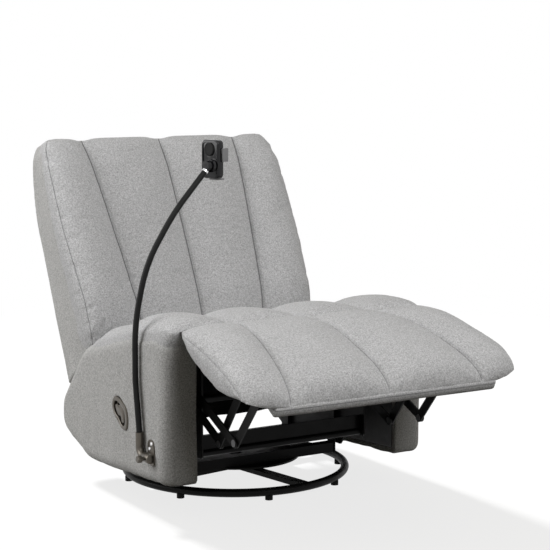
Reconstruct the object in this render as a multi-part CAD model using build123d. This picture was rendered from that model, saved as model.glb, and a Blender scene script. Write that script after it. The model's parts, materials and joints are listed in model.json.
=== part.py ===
from build123d import *
import os
from math import atan2, cos, degrees, hypot, radians, sin

# Armless swivel glider recliner with its footrest out and a phone holder on one side panel.
# Millimetres. +Z up, the sitter faces -Y, the phone holder is on the -X side.
# The origin is on the floor, on the swivel's axis.

# Clearances
RUN = 0.08
SEATED = 0.02
SOFT_GAP = 0.3

# Floor ring, hub and swivel bearing
RING_R = 300.0
RING_TUBE_R = 11.0
RING_LIFT = 10.0
PAD_R = 10.0
PAD_WRAP = 3.0
PAD_COUNT = 8
BASE_TURN = 9.0
SPOKE_W = 30.0
SPOKE_H = 12.0
SPOKE_COUNT = 4
HUB_R = 34.0
HUB_PLATE_R = 85.0
HUB_PLATE_T = 6.0
BOLT_R = 10.0
BOLT_HEAD_R = 17.0
BOLT_HEAD_H = 6.0
NUT_R = 15.0
NUT_H = 5.0
RACE_R = 67.0
RACE_W = 24.0
RACE_T = 6.0
RACE_GAP = 5.0
BALL_R = 5.0
BALL_PLAY = 0.15
BALL_COUNT = 16
TURNTABLE_R = 175.0
TURNTABLE_T = 5.0

# Glider base: rails on the turntable, hangers, and swing arms that carry the seat
GLIDE_PIVOT_Y = 120.0
GLIDE_TOP_Z = 205.0
SWING_LENGTH = 110.0
RAIL_W = 30.0
RAIL_H = 26.0
RAIL_WALL = 3.0
HANGER_W = 36.0

# Steel linkage: flat bars stacked in layers outwards from the mechanism plate
PLATE_X = 246.0
STEEL = 4.0
LAYER = 6.0
LINK_W = 24.0
RIVET_R = 5.0
RIVET_HEAD_R = 9.0
RIVET_HEAD_T = 1.2
PLATE_FRONT_Y = -262.0
PLATE_FOOT_Z = 78.0
PLATE_REAR_Y = 262.0
PLATE_MARGIN = 30.0
PLATE_PIVOT_MARGIN = 25.0
PLATE_CORNER_R = 8.0
PLATE_NECK = 34.0
RAIL_CLEARANCE = 10.0
BACK_PIVOT = (230.0, 215.0)
CROSS_RAIL_Y = -240.0
CROSS_RAIL_Z = 132.0
CROSS_RAIL_H = 45.0
CROSS_TUBE_R = 9.0
REAR_TUBE = (208.0, 140.0)
REAR_TUBE_R = 12.0

# Side panels: corners of the side outline as (y, z), and their rounding
PANEL_IN_X = 300.0
PANEL_OUT_X = 395.0
PANEL_EDGE_R = 34.0
FRONT_FOOT = (-330.0, 80.0)
REAR_FOOT = (115.0, 55.5)
REAR_LOW = (287.0, 118.0)
REAR_HIGH = (284.0, 205.0)
TOP_REAR = (140.0, 367.4)
TOP_MID = (-150.0, 445.0)
TOP_FRONT = (-330.0, 466.0)
FRONT_FOOT_R = 12.0
REAR_FOOT_R = 140.0
REAR_LOW_R = 60.0
REAR_HIGH_R = 62.0
TOP_REAR_R = 130.0
TOP_MID_R = 0.0
TOP_FRONT_R = 38.0
BOARD_T = 12.0
BOARD_INSET = 16.0

# Seat: foam on webbing on rails, under a quilted cushion
SEAT_FRONT_Y = -344.0
SEAT_REAR_Y = 128.0
SEAT_EDGE_IN = 7.0
SEAT_HALF_W = PANEL_OUT_X - SEAT_EDGE_IN
SEAT_SEAM_X = 204.0
FOAM_T = 45.0
FOAM_HALF_W = 290.0
FOAM_FRONT_Y = -318.0
FOAM_REAR_Y = 118.0
WEBBING_T = 2.0
WEBBING_W = 60.0
WEBBING_COUNT = 4
WEBBING_PITCH = 115.0
SEAT_RAIL_T = 34.0
SEAT_RAIL_H = 30.0
SEAT_RAIL_FRONT_Y = -305.0
SEAT_RAIL_REAR_Y = 110.0
CROSS_RAIL_T = 24.0
PLATE_LAP = 18.0
SPACER_LENGTH = 70.0
SPACER_FRONT_Y = -290.0
SPACER_REAR_Y = 0.0
PANEL_BRACKET_Y = 130.0
PANEL_BRACKET_L = 40.0
PANEL_BRACKET_Z = 110.0

# Footrest: turns about the crease; s runs out along it, n is square to its underside
CREASE = (-346.0, 460.0)
FOOTREST_SLOPE = 22.0
DRIVE_PIVOT = (-205.0, 265.0)
IDLER_PIVOT = (-232.0, 322.0)
LIFT_S = 180.0
CARRY_S = 265.0
LINK_PIVOT_N = -13.0
DRIVE_TUBE_R = 11.0
DRIVE_TUBE_END = 1.0
BRACKET_S0 = 70.0
BRACKET_S1 = 330.0
BRACKET_LOW_N = -26.0
BRACKET_FLANGE_W = 26.0
BOARD_S0 = 60.0
BOARD_S1 = 392.0
BOARD_REAR_N = 6.0
BOARD_FRONT_N = 18.0
FOOT_BOARD_T = 14.0
FOOT_BOARD_HALF_W = 317.0
FOOT_SEAM_REAR_X = 205.0
FOOT_SEAM_FRONT_X = 275.0

# Back: u runs up it and f forward, both square to each other, from BACK_DATUM
BACK_DATUM = (285.0, 330.0)
BACK_TILT = 25.0
COVER_HALF_W = 374.0
COVER_WALL = 8.0
COVER_REAR_F = -22.0
COVER_FRONT_F = 95.0
COVER_FOOT_REAR_U = -84.0
COVER_FOOT_FRONT_U = -38.0
COVER_BEND_U = 330.0
COVER_BEND_MID = (-1.0, 480.0)
COVER_TOP_REAR = (50.0, 588.0)
COVER_TOP_U = 592.0
POST_W = 32.0
POST_D = 40.0
POST_FOOT_U = 5.0
POST_TOP_U = 540.0
BACK_RAIL_H = 40.0
BACK_MID_RAIL_U = 260.0
BACK_SEAM_LOW_X = 190.0
BACK_SEAM_TOP_X = 246.0

# Fabric at the two folds of the seat
FABRIC_T = 3.0
FOLD_HALF_W = 290.0
CREASE_FABRIC_L = 26.0
FLAP_RISE = (38.0, 26.0)

# Pull handle in the -X panel
PULL_CENTRE = (-98.0, 231.0)
PULL_TILT = 44.0
PULL_LONG = 53.0
PULL_SHORT = 34.0
PULL_MOUTH_LONG = 44.0
PULL_MOUTH_SHORT = 25.0
BEZEL_T = 5.0
CUP_WALL = 2.5
CUP_DEPTH = 26.0
LEVER_T = 5.0
LEVER_PLAY = 1.5
LEVER_TIP = -18.0
LEVER_TOP = 34.0
LEVER_SHIFT = 6.0
LEVER_PIVOT = 30.0
LEVER_PIN_R = 2.2
LEVER_PIN_DEPTH = 4.0
LEVER_SINK = 3.5
CABLE_R = 3.0
CABLE_HOLE_R = 4.0
FERRULE_R = 5.0
FERRULE_L = 10.0

# Phone holder
ARM_STANDOFF = 12.0
ARM_X = -PANEL_OUT_X - ARM_STANDOFF
ARM_Y = -225.0
ARM_PIVOT_Z = 148.0
ARM_TUBE_R = 7.5
ELBOW_R = 10.0
ELBOW_BEND_R = 22.0
ELBOW_TOP_Z = 205.0
SPIGOT_R = 6.0
BOSS_R = 12.0
BOSS_FRONT_Y = -286.0
BOSS_REAR_Y = -252.0
HOLDER_PLATE_T = 4.0
HOLDER_PLATE_Z0 = 126.0
HOLDER_PLATE_Z1 = 194.0
HOLDER_SCREWS = [(-5.0, 36.0), (5.0, 22.0)]
HOLDER_SCREW_R = 2.5
HOLDER_SCREW_HEAD_R = 5.0
HOLDER_SCREW_HEAD_T = 2.5
THUMB_SHANK_R = 3.0
THUMB_KNOB_R = 9.0
THUMB_KNOB_L = 12.0
THUMB_NECK_L = 6.0
CLAMP_Y = -206.0
CLAMP_REACH = 214.0
CLAMP_HEIGHT = 860.0
ARM_RISE = CLAMP_HEIGHT - ELBOW_TOP_Z
GOOSENECK = [
    (0.0, 0.19 * ARM_RISE),
    (0.0, 0.42 * ARM_RISE),
    (0.164 * CLAMP_REACH, 0.641 * ARM_RISE),
    (0.519 * CLAMP_REACH, 0.824 * ARM_RISE),
]
GOOSENECK_R = [0.4 * ARM_RISE, 0.858 * ARM_RISE, 0.54 * ARM_RISE, 0.916 * ARM_RISE]
CLAMP_YAW = -76.4
SOCKET_R = 13.0
SOCKET_BACK = 14.0
SOCKET_FRONT = 9.0
BALL_STUD_R = 8.0
SOCKET_MOUTH_R = 7.2
NECK_R = 3.5
COLLAR_T = 3.7
COLLAR_FROM = 0.0
COLLAR_TO = 8.0
CLAMP_X0 = -47.0
CLAMP_X1 = 14.0
CLAMP_Z0 = -34.0
CLAMP_Z1 = 64.0
CLAMP_Y0 = 17.0
CLAMP_T = 20.0
CLAMP_CORNER_R = 12.0
CLAMP_EDGE_R = 3.0
KNOB_R = 15.0
KNOB_H = 4.0
KNOB_Z = 38.0
JAW_BAR_W = 12.0
JAW_BAR_T = 5.0
JAW_BAR_L = 30.0
JAW_Z = (17.0, 35.0)
JAW_PAD_H = 34.0
JAW_PAD_T = 4.0
JAW_PAD_DEPTH = 20.0
JAW_GAP = 1.0
CLAMP_FOOT_W = 30.0
CLAMP_FOOT_T = 4.0
CLAMP_FOOT_DEPTH = 18.0

# Quilted forms: (place along the piece, half width, edge, outer seam, centre seam, outer and inner crown)
SEAT_ROWS = [
    (SEAT_FRONT_Y, SEAT_HALF_W - 12, 4, 4, 4, 7, 7),
    (-312, SEAT_HALF_W, 14, 11, 10, 26, 24),
    (-240, SEAT_HALF_W - 2, 18, 16, 14, 34, 30),
    (TOP_MID[0], SEAT_HALF_W - 4, 16, 14, 12, 31, 28),
    (-85, SEAT_HALF_W - 5, 14, 11, 10, 22, 20),
    (-55, SEAT_HALF_W - 6, 12, 8, 8, 13, 12),
    (-20, SEAT_HALF_W - 5, 13, 10, 9, 22, 20),
    (40, SEAT_HALF_W - 3, 14, 12, 11, 29, 27),
    (100, SEAT_HALF_W - 6, 10, 9, 8, 20, 19),
    (SEAT_REAR_Y, SEAT_HALF_W - 20, 4, 4, 4, 7, 7),
]
FOOT_ROWS = [
    (12, 368, 26, 26, 26, 30, 30),
    (50, 380, 34, 41, 42, 50, 50),
    (110, 386, 48, 59, 60, 71, 70),
    (180, 389, 58, 69, 69, 82, 80),
    (250, 391, 62, 73, 72, 89, 86),
    (310, 392, 60, 71, 71, 90, 86),
    (350, 390, 53, 65, 65, 82, 79),
    (380, 386, 46, 53, 54, 67, 65),
    (397, 376, 37, 39, 40, 45, 45),
]
BACK_ROWS = [
    (-30, 352, 120, 114, 112, 126, 122),
    (12, 362, 146, 132, 126, 154, 146),
    (95, 368, 158, 142, 132, 170, 158),
    (200, 376, 152, 138, 131, 166, 156),
    (300, 382, 143, 133, 129, 159, 152),
    (400, 382, 136, 128, 125, 152, 147),
    (490, 379, 127, 121, 119, 143, 138),
    (550, 371, 114, 110, 109, 126, 123),
    (588, 350, 100, 99, 99, 104, 104),
]

# Worked-out heights of the base
RING_Z = RING_LIFT + RING_TUBE_R
HUB_LOW_Z = RING_Z - SPOKE_H / 2
HUB_TOP_Z = RING_Z + SPOKE_H / 2 + HUB_PLATE_T
RACE_TOP_Z = HUB_TOP_Z + RACE_T
UPPER_RACE_Z = RACE_TOP_Z + RACE_GAP
TURNTABLE_Z = UPPER_RACE_Z + RACE_T
RAIL_Z = TURNTABLE_Z + TURNTABLE_T
BALL_Z = RACE_TOP_Z + RACE_GAP / 2
GLIDE_LOW_Z = GLIDE_TOP_Z - SWING_LENGTH
FRAME_OUT_X = PLATE_X + STEEL
BACK_SIN = sin(radians(BACK_TILT))
BACK_COS = cos(radians(BACK_TILT))
FOOT_SIN = sin(radians(FOOTREST_SLOPE))
FOOT_COS = cos(radians(FOOTREST_SLOPE))


def panel_top(y):
    """Height of the side panel's top edge, which the cushion rests on."""
    low, high = (TOP_MID, TOP_FRONT) if y < TOP_MID[0] else (TOP_REAR, TOP_MID)
    return low[1] + (high[1] - low[1]) * (y - low[0]) / (high[0] - low[0])


def footrest_point(s, n):
    """(y, z) of a place on the footrest in its photographed pose."""
    return (CREASE[0] - s * FOOT_COS - n * FOOT_SIN, CREASE[1] - s * FOOT_SIN + n * FOOT_COS)


def board_low(s):
    """Height of the footrest board's underside above the footrest's own plane."""
    return BOARD_REAR_N + (BOARD_FRONT_N - BOARD_REAR_N) * (s - BOARD_S0) / (BOARD_S1 - BOARD_S0)


def board_top(s):
    """Height of the footrest board's top, which the pad rests on."""
    return board_low(s) + FOOT_BOARD_T


def back_point(f, u):
    """(y, z) of a place on the back in its photographed pose."""
    return (
        BACK_DATUM[0] + u * BACK_SIN - f * BACK_COS,
        BACK_DATUM[1] + u * BACK_COS + f * BACK_SIN,
    )


def layer(number):
    """Inner and outer X of one layer of the linkage, counted from the mechanism plate."""
    inner = PLATE_X + number * LAYER
    return inner, inner + STEEL


def slab(face, x0, x1):
    """A flat outline drawn as (y, z), given a thickness along X."""
    return extrude(Plane.YZ.offset(x0) * face, amount=x1 - x0)


def outline(*points, radius=0.0):
    """A closed outline with its corners rounded."""
    if not radius:
        return make_face(Polyline(*points, close=True))
    return make_face(FilletPolyline(*points, radius=radius, close=True))


def disc(point, radius):
    """A round outline at a (y, z) point."""
    return Pos(*point) * Circle(radius)


def both(solid):
    """A solid of the +X side and its mirror image."""
    return [solid, mirror(solid, about=Plane.YZ)]


def link(p, q, number, hole_p, hole_q):
    """A round-ended bar between two pivots in one layer."""
    middle = ((p[0] + q[0]) / 2, (p[1] + q[1]) / 2)
    length = hypot(q[0] - p[0], q[1] - p[1])
    turn = degrees(atan2(q[1] - p[1], q[0] - p[0]))
    bar = Pos(*middle) * Rot(0, 0, turn) * SlotCenterToCenter(length, LINK_W)
    bar = bar - disc(p, hole_p) - disc(q, hole_q)
    return slab(bar, *layer(number))


def rivet(p, fixed, running):
    """A pivot rivet, tight in one layer and free in another."""
    first, last = sorted((fixed, running))
    x0 = layer(first)[0] - (SOFT_GAP if first == running else 0)
    x1 = layer(last)[1] + (SOFT_GAP if last == running else 0)
    shank = slab(disc(p, RIVET_R), x0, x1)
    heads = slab(disc(p, RIVET_HEAD_R), x0 - RIVET_HEAD_T, x0)
    heads += slab(disc(p, RIVET_HEAD_R), x1, x1 + RIVET_HEAD_T)
    return shank + heads


def quilted(rows, seam_low, seam_high, base, place):
    """A padded form with sewn channels: arcs between the seams, lofted from row to row."""
    first, last = rows[0][0], rows[-1][0]
    sections = []
    for at, half, edge, outer, centre, outer_crown, inner_crown in rows:
        seam = seam_low + (seam_high - seam_low) * (at - first) / (last - first)
        xs = [half, seam, 0, -seam, -half]
        heights = [edge, outer, centre, outer, edge]
        crowns = [outer_crown, inner_crown, inner_crown, outer_crown]
        floor = base(at)
        corners = [place(at, x, floor + h) for x, h in zip(xs, heights)]
        edges = [Line(place(at, -half, floor), place(at, half, floor))]
        edges.append(Line(place(at, half, floor), corners[0]))
        for i, crown in enumerate(crowns):
            top = place(at, (xs[i] + xs[i + 1]) / 2, floor + crown)
            edges.append(ThreePointArc(corners[i], top, corners[i + 1]))
        edges.append(Line(corners[-1], place(at, -half, floor)))
        sections.append(make_face(edges))
    return loft(sections, ruled=True)


# Base
def base_parts():
    ring = Pos(0, 0, RING_Z) * Torus(RING_R, RING_TUBE_R)
    boss = Pos(0, 0, (HUB_LOW_Z + HUB_TOP_Z) / 2) * Cylinder(HUB_R, HUB_TOP_Z - HUB_LOW_Z)
    plate = Pos(0, 0, HUB_TOP_Z - HUB_PLATE_T / 2) * Cylinder(HUB_PLATE_R, HUB_PLATE_T)
    hub = boss + plate - Cylinder(BOLT_R + RUN, 4 * HUB_TOP_Z)
    spoke = Pos(RING_R / 2, 0, RING_Z) * Box(RING_R, SPOKE_W, SPOKE_H)
    spoke = spoke - boss - ring
    turns = [BASE_TURN + 360 * i / SPOKE_COUNT for i in range(SPOKE_COUNT)]
    spokes = [Rot(0, 0, turn) * spoke.solids().sort_by(SortBy.VOLUME)[-1] for turn in turns]
    pad_h = RING_LIFT + PAD_WRAP
    pad = Pos(RING_R, 0, pad_h / 2) * Cylinder(PAD_R, pad_h) - ring
    half_step = 180 / PAD_COUNT
    pads = [Rot(0, 0, BASE_TURN + half_step * (2 * i + 1)) * pad for i in range(PAD_COUNT)]
    groove = Pos(0, 0, BALL_Z) * Torus(RACE_R, BALL_R + BALL_PLAY)
    race = Cylinder(RACE_R + RACE_W / 2, RACE_T) - Cylinder(RACE_R - RACE_W / 2, RACE_T)
    lower = Pos(0, 0, HUB_TOP_Z + RACE_T / 2) * race - groove
    upper = Pos(0, 0, UPPER_RACE_Z + RACE_T / 2) * race - groove
    ball = Pos(RACE_R, 0, BALL_Z) * Sphere(BALL_R)
    balls = [Rot(0, 0, 360 * i / BALL_COUNT) * ball for i in range(BALL_COUNT)]
    return {
        "base_ring": [ring],
        "base_spokes": spokes,
        "base_hub": [hub],
        "floor_pads": pads,
        "bearing_lower_race": [lower],
        "bearing_balls": balls,
        "bearing_upper_race": [upper],
    }


# Swivel
def swivel_parts():
    plate = Pos(0, 0, TURNTABLE_Z + TURNTABLE_T / 2) * Cylinder(TURNTABLE_R, TURNTABLE_T)
    plate -= Cylinder(BOLT_R + SEATED, 4 * RAIL_Z)
    low_z = HUB_LOW_Z - NUT_H - SOFT_GAP
    bolt = Pos(0, 0, (low_z + RAIL_Z) / 2) * Cylinder(BOLT_R, RAIL_Z - low_z)
    bolt += Pos(0, 0, RAIL_Z + BOLT_HEAD_H / 2) * Cylinder(BOLT_HEAD_R, BOLT_HEAD_H)
    nut = extrude(RegularPolygon(NUT_R, 6) - Circle(BOLT_R + SEATED), amount=NUT_H)
    nut = Pos(0, 0, low_z) * nut
    hanger_x = layer(-2)
    channel = Box(2 * hanger_x[0], RAIL_W, RAIL_H)
    hollow = Pos(0, RAIL_WALL, 0) * Box(2 * hanger_x[0], RAIL_W, RAIL_H - 2 * RAIL_WALL)
    front = Pos(0, -GLIDE_PIVOT_Y, RAIL_Z + RAIL_H / 2) * (channel - hollow)
    rails = [front, mirror(front, about=Plane.XZ)]
    hangers = []
    rivets = []
    for y in (-GLIDE_PIVOT_Y, GLIDE_PIVOT_Y):
        top = (y, GLIDE_TOP_Z)
        shape = outline(
            (y - HANGER_W / 2, RAIL_Z),
            (y + HANGER_W / 2, RAIL_Z),
            (y + LINK_W / 2, GLIDE_TOP_Z + LINK_W / 2),
            (y - LINK_W / 2, GLIDE_TOP_Z + LINK_W / 2),
            radius=[0, 0, LINK_W / 3, LINK_W / 3],
        )
        hangers += both(slab(shape - disc(top, RIVET_R + SEATED), *hanger_x))
        rivets += both(rivet(top, -2, -1))
    return {
        "swivel_bolt": [bolt, nut],
        "turntable_plate": [plate],
        "glide_base_rails": rails,
        "glide_hangers": hangers,
        "hanger_rivets": rivets,
    }


def swing_arm_parts():
    nodes = {}
    for name, y in (("front_swing_arms", -GLIDE_PIVOT_Y), ("rear_swing_arms", GLIDE_PIVOT_Y)):
        hole = RIVET_R + RUN
        nodes[name] = both(link((y, GLIDE_TOP_Z), (y, GLIDE_LOW_Z), -1, hole, hole))
    return nodes


# Seat mechanism and frame
def rail_band(y0, y1):
    """The band of a seat rail between two places, as (y, z) corners under the webbing."""
    drop = FOAM_T + WEBBING_T + 2 * SOFT_GAP
    stops = [y0] + [y for y in (TOP_MID[0],) if y0 < y < y1] + [y1]
    upper = [(y, panel_top(y) - drop) for y in stops]
    lower = [(y, z - SEAT_RAIL_H) for y, z in reversed(upper)]
    return outline(*upper, *lower)


def mechanism_parts():
    drop = FOAM_T + WEBBING_T + 2 * SOFT_GAP + SEAT_RAIL_H - PLATE_LAP
    shoulder_y = SEAT_RAIL_REAR_Y - CROSS_RAIL_T - PLATE_NECK / 2 - RAIL_CLEARANCE
    pivot_y, pivot_z = BACK_PIVOT
    shape = outline(
        (PLATE_FRONT_Y, CROSS_RAIL_Z - CROSS_TUBE_R),
        (-GLIDE_PIVOT_Y - 2 * PLATE_MARGIN, CROSS_RAIL_Z - CROSS_TUBE_R),
        (-GLIDE_PIVOT_Y - PLATE_MARGIN, PLATE_FOOT_Z),
        (GLIDE_PIVOT_Y + PLATE_MARGIN, PLATE_FOOT_Z),
        (REAR_TUBE[0] + PLATE_MARGIN, REAR_TUBE[1] - REAR_TUBE_R),
        (PLATE_REAR_Y, pivot_z - PLATE_PIVOT_MARGIN),
        (pivot_y + PLATE_PIVOT_MARGIN, pivot_z + PLATE_PIVOT_MARGIN),
        (pivot_y - PLATE_PIVOT_MARGIN, pivot_z + PLATE_PIVOT_MARGIN + RAIL_CLEARANCE),
        (shoulder_y + PLATE_NECK / 2, panel_top(shoulder_y) - drop - PLATE_NECK),
        (shoulder_y, panel_top(shoulder_y) - drop),
        (TOP_MID[0], panel_top(TOP_MID[0]) - drop),
        (PLATE_FRONT_Y, panel_top(PLATE_FRONT_Y) - drop),
        radius=PLATE_CORNER_R,
    )
    for point in ((-GLIDE_PIVOT_Y, GLIDE_LOW_Z), (GLIDE_PIVOT_Y, GLIDE_LOW_Z), BACK_PIVOT, IDLER_PIVOT):
        shape -= disc(point, RIVET_R + SEATED)
    shape -= disc(DRIVE_PIVOT, DRIVE_TUBE_R + RUN)
    right, left = both(slab(shape, *layer(0)))
    rivets = []
    for y in (-GLIDE_PIVOT_Y, GLIDE_PIVOT_Y):
        rivets += both(rivet((y, GLIDE_LOW_Z), 0, -1))
    rivets += both(rivet(BACK_PIVOT, 0, 1))
    rivets += both(rivet(IDLER_PIVOT, 0, 5))
    web = Pos(0, CROSS_RAIL_Y + STEEL / 2, CROSS_RAIL_Z + CROSS_RAIL_H / 2) * Box(
        2 * PLATE_X, STEEL, CROSS_RAIL_H
    )
    tube = slab(disc((CROSS_RAIL_Y, CROSS_RAIL_Z), CROSS_TUBE_R), -PLATE_X, PLATE_X)
    rear = slab(disc(REAR_TUBE, REAR_TUBE_R), -PLATE_X, PLATE_X)
    bracket = slab(
        outline(
            (PANEL_BRACKET_Y, PANEL_BRACKET_Z),
            (PANEL_BRACKET_Y + PANEL_BRACKET_L, PANEL_BRACKET_Z),
            (PANEL_BRACKET_Y + PANEL_BRACKET_L, PANEL_BRACKET_Z + STEEL),
            (PANEL_BRACKET_Y, PANEL_BRACKET_Z + STEEL),
        ),
        FRAME_OUT_X,
        PANEL_IN_X,
    )
    return {
        "mechanism_plate_left": [left],
        "mechanism_plate_right": [right],
        "mechanism_rivets": rivets,
        "front_cross_rail": [web + tube],
        "rear_cross_tube": [rear],
        "panel_brackets": both(bracket),
    }


def seat_parts():
    rail_x = (FRAME_OUT_X, FRAME_OUT_X + SEAT_RAIL_T)
    rails = both(slab(rail_band(SEAT_RAIL_FRONT_Y, SEAT_RAIL_REAR_Y), *rail_x))
    front = rail_band(SEAT_RAIL_FRONT_Y, SEAT_RAIL_FRONT_Y + CROSS_RAIL_T)
    rear = rail_band(SEAT_RAIL_REAR_Y - CROSS_RAIL_T, SEAT_RAIL_REAR_Y)
    rails += [slab(band, -FRAME_OUT_X, FRAME_OUT_X) for band in (front, rear)]
    spacers = []
    for y in (SPACER_FRONT_Y, SPACER_REAR_Y):
        spacers += both(slab(rail_band(y, y + SPACER_LENGTH), rail_x[1], PANEL_IN_X))
    strap_top = FOAM_T + SOFT_GAP
    strap_low = strap_top + WEBBING_T
    stops = (SEAT_RAIL_FRONT_Y, TOP_MID[0], SEAT_RAIL_REAR_Y)
    upper = [(y, panel_top(y) - strap_top) for y in stops]
    lower = [(y, panel_top(y) - strap_low) for y in reversed(stops)]
    strap = slab(outline(*upper, *lower), -WEBBING_W / 2, WEBBING_W / 2)
    first = -WEBBING_PITCH * (WEBBING_COUNT - 1) / 2
    straps = [Pos(first + i * WEBBING_PITCH, 0, 0) * strap for i in range(WEBBING_COUNT)]
    stops = (FOAM_FRONT_Y, TOP_MID[0], FOAM_REAR_Y)
    upper = [(y, panel_top(y)) for y in stops]
    lower = [(y, panel_top(y) - FOAM_T) for y in reversed(stops)]
    foam = slab(outline(*upper, *lower), -FOAM_HALF_W, FOAM_HALF_W)
    cushion = quilted(
        SEAT_ROWS,
        SEAT_SEAM_X,
        SEAT_SEAM_X,
        lambda y: panel_top(y) + SOFT_GAP,
        lambda y, x, h: (x, y, h),
    )
    return {
        "seat_rails": rails,
        "panel_spacers": spacers,
        "seat_webbing": straps,
        "seat_foam": [foam],
        "seat_cushion": [cushion],
    }


def fold_fabric_parts():
    y0 = SEAT_FRONT_Y
    y1 = SEAT_FRONT_Y + CREASE_FABRIC_L / 2
    crease = outline(
        (y1, panel_top(y1)),
        (y0, panel_top(y0)),
        (y0 - CREASE_FABRIC_L / 2, panel_top(y0)),
        (y0 - CREASE_FABRIC_L / 2, panel_top(y0) - FABRIC_T),
        (y1, panel_top(y1) - FABRIC_T),
    )
    drop = FOAM_T + WEBBING_T + 2 * SOFT_GAP + SEAT_RAIL_H / 2
    y0 = SEAT_RAIL_REAR_Y + SOFT_GAP
    z0 = panel_top(SEAT_RAIL_REAR_Y) - drop
    flap = outline(
        (y0, z0),
        (y0 + FLAP_RISE[0], z0 + FLAP_RISE[1]),
        (y0 + FLAP_RISE[0], z0 + FLAP_RISE[1] - FABRIC_T),
        (y0, z0 - FABRIC_T),
    )
    return {
        "crease_fabric": [slab(crease, -FOLD_HALF_W, FOLD_HALF_W)],
        "rear_flap": [slab(flap, -FOLD_HALF_W, FOLD_HALF_W)],
    }


# Side panels and the pull handle set into one of them
PULL_PLANE = Plane(
    origin=(-PANEL_OUT_X, *PULL_CENTRE),
    x_dir=(0, sin(radians(PULL_TILT)), cos(radians(PULL_TILT))),
    z_dir=(-1, 0, 0),
)


def oval(grow=0.0):
    """The pull's mouth, enlarged all round."""
    return Ellipse(PULL_MOUTH_LONG + grow, PULL_MOUTH_SHORT + grow)


def panel_parts():
    corners = [FRONT_FOOT, REAR_FOOT, REAR_LOW, REAR_HIGH, TOP_REAR, TOP_MID, TOP_FRONT]
    radii = [FRONT_FOOT_R, REAR_FOOT_R, REAR_LOW_R, REAR_HIGH_R, TOP_REAR_R, TOP_MID_R, TOP_FRONT_R]
    side = outline(*corners, radius=radii)
    board_face = offset(side, amount=-BOARD_INSET)
    pocket_face = offset(side, amount=SOFT_GAP - BOARD_INSET)
    board = slab(board_face, PANEL_IN_X, PANEL_IN_X + BOARD_T)
    panel = slab(side, PANEL_IN_X, PANEL_OUT_X)
    panel = fillet(panel.faces().sort_by(Axis.X)[-1].edges(), PANEL_EDGE_R)
    panel -= slab(pocket_face, PANEL_IN_X, PANEL_IN_X + BOARD_T)
    right_board, left_board = both(board)
    right_panel, left_panel = both(panel)
    pocket = extrude(oval(CUP_WALL + SOFT_GAP), amount=-CUP_DEPTH - SOFT_GAP)
    left_panel -= PULL_PLANE * pocket
    hole = slab(disc(PULL_CENTRE, CABLE_HOLE_R), -PANEL_OUT_X + CUP_DEPTH, -PANEL_IN_X)
    left_panel -= hole
    left_board -= hole
    cup = extrude(oval(CUP_WALL), amount=-CUP_DEPTH) - extrude(oval(), amount=CUP_WALL - CUP_DEPTH)
    bezel = extrude(Ellipse(PULL_LONG, PULL_SHORT) - oval(), amount=BEZEL_T)
    cable_x = -PANEL_OUT_X + CUP_DEPTH
    ferrule_x = -FRAME_OUT_X - FERRULE_L
    cable = slab(disc(PULL_CENTRE, CABLE_R), cable_x, ferrule_x)
    cable += slab(disc(PULL_CENTRE, FERRULE_R), ferrule_x, -FRAME_OUT_X)
    lever = extrude(oval(-LEVER_PLAY), amount=LEVER_T)
    keep_l = LEVER_TOP - LEVER_TIP
    lever &= Pos(0, LEVER_SHIFT, 0) * extrude(oval(), amount=LEVER_T)
    lever &= Pos((LEVER_TOP + LEVER_TIP) / 2, 0, LEVER_T / 2) * Box(keep_l, 4 * PULL_SHORT, LEVER_T)
    pin_half = PULL_MOUTH_SHORT * (1 - (LEVER_PIVOT / PULL_MOUTH_LONG) ** 2) ** 0.5 + CUP_WALL / 2
    pin_at = Pos(LEVER_PIVOT, 0, -LEVER_PIN_DEPTH) * Rot(90, 0, 0)
    lever = Pos(0, 0, -LEVER_SINK) * lever + pin_at * Cylinder(LEVER_PIN_R, 2 * pin_half)
    cup -= pin_at * Cylinder(LEVER_PIN_R + RUN, 2 * PULL_SHORT)
    return {
        "side_boards": [right_board, left_board],
        "side_panel_left": [left_panel],
        "side_panel_right": [right_panel],
        "pull_bezel": [PULL_PLANE * bezel],
        "pull_cup": [PULL_PLANE * cup],
        "release_cable": [cable],
        "pull_lever": [PULL_PLANE * lever],
    }


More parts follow.
